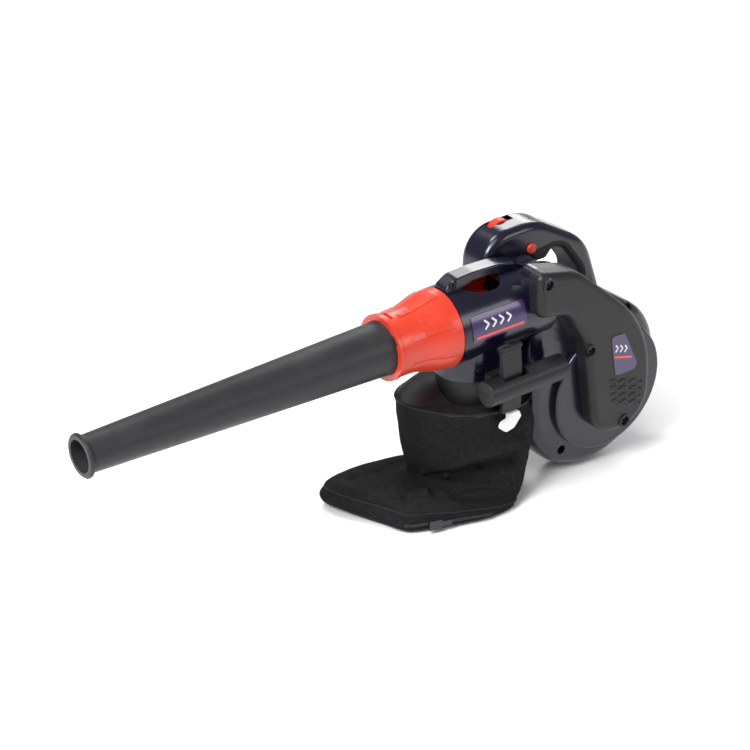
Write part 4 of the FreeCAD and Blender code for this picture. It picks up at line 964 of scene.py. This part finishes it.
class BLOWER_OT_zip(bpy.types.Operator):
    """Make the zip on the bag's near hem: tape and teeth"""

    bl_idname = "blower.zip"
    bl_label = "Zip"

    def execute(self, context):
        settings = context.scene.blower_bag
        grid, normal = bag_surface(settings)
        first, last = (at_point(grid, p) for p in ZIP_SPAN)
        lines = [column_path(grid, normal, at_ring(grid, k), first, last, up) for k, up in ZIP_TAPE]
        verts = [p for line in lines for p in line]
        n = last - first
        faces, uvs = [], []
        for r in range(len(lines) - 1):
            for c in range(n - 1):
                faces.append((r * n + c, (r + 1) * n + c, (r + 1) * n + c + 1, r * n + c + 1))
                uvs.extend(
                    [(c * MM, r * 2 * MM), (c * MM, (r + 1) * 2 * MM),
                     ((c + 1) * MM, (r + 1) * 2 * MM), ((c + 1) * MM, r * 2 * MM)]
                )
        tape = mesh_object("zip_tape", verts, faces, "tape", uvs)
        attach(tape, "body")
        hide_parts("bag_zip")
        middle = column_path(grid, normal, at_ring(grid, ZIP_MIDDLE_RING), first + 2, last - 2, 1.3)
        teeth = repeated_row(
            "zip_teeth", [middle], settings.tooth, (0.0012, 0.0013, 0.0036),
            "zip_metal", square=True, seed=2,
        )
        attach(teeth, "body")
        return {"FINISHED"}


class BLOWER_OT_latch_details(bpy.types.Operator):
    """Make the grip bumps and the end line on the latch barrel"""

    bl_idname = "blower.latch_details"
    bl_label = "Latch Details"

    def execute(self, context):
        lo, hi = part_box("latch_barrel")
        axis_z = place(0, 0, -60).z
        axis_y = place(0, -53, 0).y
        radius = 13.6 * MM

        def line(angle, x0, x1, proud):
            out = Vector((0, -math.sin(angle), math.cos(angle)))
            path = []
            for x in np.linspace(x0, x1, 24):
                start = Vector((x, axis_y, axis_z)) + out * radius * 2.5
                point, _ = hit("latch_barrel", start, -out)
                path.append(point + out * proud)
            return path, out

        bumps, out = line(math.radians(50), lo.x + 0.012, hi.x - 0.005, 0.0)
        beads = repeated_row(
            "latch_bumps", [bumps], 0.0090, (0.0034, 0.0034, 0.0024), "dark", up=tuple(out), seed=3
        )
        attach(beads, "body")
        ends = [
            Vector((lo.x - 0.0001, axis_y - 0.0115, axis_z + 0.002)),
            Vector((lo.x - 0.0001, axis_y, axis_z)),
            Vector((lo.x - 0.0001, axis_y + 0.0115, axis_z - 0.002)),
        ]
        verts, faces = sweep(ends, 0.00045, 8)
        bar = mesh_object("latch_end_line", verts, faces, "dark")
        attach(bar, "body")
        return {"FINISHED"}


WAVE_COUNT = 4
WAVE_CRESTS = 3
WAVE_SPACING = 8.6
WAVE_HEIGHT = 2.0
WAVE_RADIUS = 0.0019


class BLOWER_OT_cover_details(bpy.types.Operator):
    """Make the four raised waves on the duct cover"""

    bl_idname = "blower.cover_details"
    bl_label = "Cover Waves"

    def execute(self, context):
        parts = []
        for k in range(WAVE_COUNT):
            path = []
            for t in np.linspace(0, 1, 48):
                x = 595.0 + 1.5 * k + (46.0 - 1.5 * k) * t
                z = -99.0 - WAVE_SPACING * k - 14.0 * t + WAVE_HEIGHT * math.sin(WAVE_CRESTS * math.tau * t)
                point, _ = hit("duct_cover", place(x, -90, z), (0, 1, 0))
                path.append(point)
            parts.append(sweep(path, WAVE_RADIUS, 12, flat=0.75, up=(0, -1, 0)))
        verts, faces = merged(parts)
        waves = mesh_object("cover_waves", verts, faces, "dark")
        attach(waves, "body")
        return {"FINISHED"}


def bar_on(node, start, end, wide, towards, lift=0.00025, steps=14):
    """A thin raised bar laid on a CAD node between two places, seen along a direction."""
    start, end, towards = Vector(start), Vector(end), Vector(towards).normalized()
    across = (end - start).cross(towards).normalized() * wide / 2
    top, low = [], []
    for t in np.linspace(0, 1, steps):
        for side in (-1, 1):
            at = start.lerp(end, float(t)) + across * side
            point, out = hit(node, at - towards * 0.05, towards)
            top.append(point + out * lift)
            low.append(point - out * 0.0001)
    verts = top + low
    base = len(top)
    faces = []
    for i in range(steps - 1):
        a, b, c, d = 2 * i, 2 * i + 1, 2 * i + 3, 2 * i + 2
        faces.append((a, b, c, d))
        faces.append((a + base, d + base, c + base, b + base))
        faces.append((a, d, d + base, a + base))
        faces.append((b, b + base, c + base, c))
    last = 2 * (steps - 1)
    faces.append((0, base, base + 1, 1))
    faces.append((last, last + 1, last + 1 + base, last + base))
    return verts, faces


def outward(obj):
    """Turn the faces of a closed mesh outwards."""
    work = bmesh.new()
    work.from_mesh(obj.data)
    bmesh.ops.recalc_face_normals(work, faces=work.faces)
    work.to_mesh(obj.data)
    work.free()


class BLOWER_OT_label_details(bpy.types.Operator):
    """Make the plain chevrons and stripes on the two label plates"""

    bl_idname = "blower.label_details"
    bl_label = "Label Marks"

    def execute(self, context):
        near = (0, 1, 0)
        marks, stripes = [], []
        for k in range(4):
            x = 438.0 + 9.5 * k
            tip = place(x + 5.0, -42, 12.0)
            marks.append(bar_on("body_plate", place(x, -42, 16.5), tip, 0.0020, near))
            marks.append(bar_on("body_plate", place(x, -42, 7.5), tip, 0.0020, near))
        stripes.append(bar_on("body_plate", place(427, -42, 0.5), place(487, -42, 0.5), 0.0026, near))
        for k in range(3):
            x = 600.0 + 6.4 * k
            z = -60.0 - 1.8 * k
            tip = place(x + 3.4, -58, z - 1.0)
            marks.append(bar_on("cover_plate", place(x, -58, z + 3.2), tip, 0.0016, near))
            marks.append(bar_on("cover_plate", place(x, -58, z - 5.0), tip, 0.0016, near))
        stripes.append(bar_on("cover_plate", place(599, -58, -70.5), place(623.5, -58, -77.5), 0.0024, near))
        for name, pieces, finish in (("label_marks", marks, "mark"), ("label_stripes", stripes, "stripe")):
            verts, faces = merged(pieces)
            obj = mesh_object(name, verts, faces, finish, smooth=False)
            outward(obj)
            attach(obj, "body")
        return {"FINISHED"}


class BLOWER_OT_collar_details(bpy.types.Operator):
    """Make the raised air sign on the red collar"""

    bl_idname = "blower.collar_details"
    bl_label = "Collar Sign"

    def execute(self, context):
        angle = math.radians(33)
        out = Vector((0, -math.sin(angle), math.cos(angle)))
        side = Vector((0, math.cos(angle), math.sin(angle)))
        centre = place(378, 0, 0) + out * 0.08

        def laid(points):
            path = []
            for u, v in points:
                start = centre + Vector((1, 0, 0)) * u * MM + side * v * MM
                point, _ = hit("mode_collar", start, -out)
                path.append(point)
            return path

        ring = [(5.2 * math.cos(a), 5.2 * math.sin(a)) for a in np.linspace(0.5, 2 * math.pi - 0.5, 36)]
        shaft = [(u, 0.0) for u in np.linspace(-2.6, 8.0, 14)]
        head_a = [(8.0 - 2.6 * t, 2.4 * t) for t in np.linspace(0, 1, 6)]
        head_b = [(8.0 - 2.6 * t, -2.4 * t) for t in np.linspace(0, 1, 6)]
        parts = [sweep(laid(p), 0.00055, 8, up=tuple(out)) for p in (ring, shaft, head_a, head_b)]
        verts, faces = merged(parts)
        sign = mesh_object("collar_sign", verts, faces, "red")
        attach(sign, "selector")
        return {"FINISHED"}


FLOOR_HALF = 6.0
# Each soft lamp: its place from the target and its side in metres, and its share of the main light.
LAMPS = (
    ("key", (-1.3, -0.45, 1.35), 0.7, 1.0),
    ("top", (-0.2, 0.9, 1.7), 0.5, 0.34),
    ("fill", (1.2, -1.7, 0.9), 0.8, 0.22),
    ("rim", (1.3, 1.2, 0.8), 0.8, 0.35),
)


class BLOWER_OT_stage(bpy.types.Operator):
    """Make the floor, the lights and the camera"""

    bl_idname = "blower.stage"
    bl_label = "Studio"

    def execute(self, context):
        settings = context.scene.blower_stage
        floor_mat, _, shader = new_material("studio floor")
        shader["Base Color"].default_value = tuple(settings.floor_colour) + (1.0,)
        shader["Roughness"].default_value = 0.9
        mesh = bpy.data.meshes.new("floor")
        far = FLOOR_HALF
        corners = [(-far, -far, 0), (far, -far, 0), (far, far, 0), (-far, far, 0)]
        mesh.from_pydata(corners, [], [(0, 1, 2, 3)])
        mesh.materials.append(floor_mat)
        floor = link(bpy.data.objects.new("floor", mesh))

        world = bpy.data.worlds.new("studio")
        world.use_nodes = True
        back = world.node_tree.nodes["Background"]
        back.inputs["Color"].default_value = (0.92, 0.93, 0.95, 1.0)
        back.inputs["Strength"].default_value = 0.28
        context.scene.world = world

        target = place(333, 0, -28)
        a, e = settings.azimuth, settings.elevation
        to_camera = Vector((math.sin(a) * math.cos(e), -math.cos(a) * math.cos(e), math.sin(e)))
        for name, offset, size, share in LAMPS:
            where = Vector(offset)
            data = bpy.data.lights.new(name, "AREA")
            data.size = size
            data.energy = settings.light * share
            lamp = link(bpy.data.objects.new(name, data))
            lamp.location = target + where
            lamp.rotation_euler = (-where).to_track_quat("-Z", "Y").to_euler()
        data = bpy.data.lights.new("daylight", "SUN")
        data.energy = settings.daylight
        data.angle = math.radians(40)
        lamp = link(bpy.data.objects.new("daylight", data))
        lamp.rotation_euler = Vector((0.55, 0.25, -0.9)).to_track_quat("-Z", "Y").to_euler()
        data = bpy.data.cameras.new("camera")
        data.lens = settings.lens
        data.sensor_width = 36.0
        camera = link(bpy.data.objects.new("camera", data))
        camera.location = target + to_camera * settings.distance
        camera.rotation_euler = (-to_camera).to_track_quat("-Z", "Y").to_euler()
        context.scene.camera = camera
        context.scene.view_settings.view_transform = "Standard"
        return {"FINISHED"}


STEPS = (
    BLOWER_OT_finishes,
    BLOWER_OT_bag,
    BLOWER_OT_hood,
    BLOWER_OT_sewing,
    BLOWER_OT_zip,
    BLOWER_OT_latch_details,
    BLOWER_OT_cover_details,
    BLOWER_OT_label_details,
    BLOWER_OT_collar_details,
    BLOWER_OT_stage,
)


class BLOWER_PT_panel(bpy.types.Panel):
    """Leaf blower pieces and settings"""

    bl_idname = "BLOWER_PT_panel"
    bl_label = "Leaf Blower"
    bl_space_type = "VIEW_3D"
    bl_region_type = "UI"
    bl_category = "Leaf Blower"

    def draw(self, context):
        layout = self.layout
        for step in STEPS:
            layout.operator(step.bl_idname)
        scene = context.scene
        for settings in (scene.blower_bag, scene.blower_stage, scene.blower_finishes):
            box = layout.box()
            for name in settings.__annotations__:
                box.prop(settings, name)


CLASSES = (BlowerFinishes, BlowerBag, BlowerStage) + STEPS + (BLOWER_PT_panel,)


def register():
    for cls in CLASSES:
        bpy.utils.register_class(cls)
    bpy.types.Scene.blower_finishes = PointerProperty(type=BlowerFinishes)
    bpy.types.Scene.blower_bag = PointerProperty(type=BlowerBag)
    bpy.types.Scene.blower_stage = PointerProperty(type=BlowerStage)


def unregister():
    del bpy.types.Scene.blower_stage
    del bpy.types.Scene.blower_bag
    del bpy.types.Scene.blower_finishes
    for cls in reversed(CLASSES):
        bpy.utils.unregister_class(cls)


def main():
    register()
    bpy.ops.blower.finishes()
    bpy.ops.blower.bag()
    bpy.ops.blower.hood()
    bpy.ops.blower.sewing()
    bpy.ops.blower.zip()
    bpy.ops.blower.latch_details()
    bpy.ops.blower.cover_details()
    bpy.ops.blower.label_details()
    bpy.ops.blower.collar_details()
    bpy.ops.blower.stage()


if __name__ == "__main__":
    main()
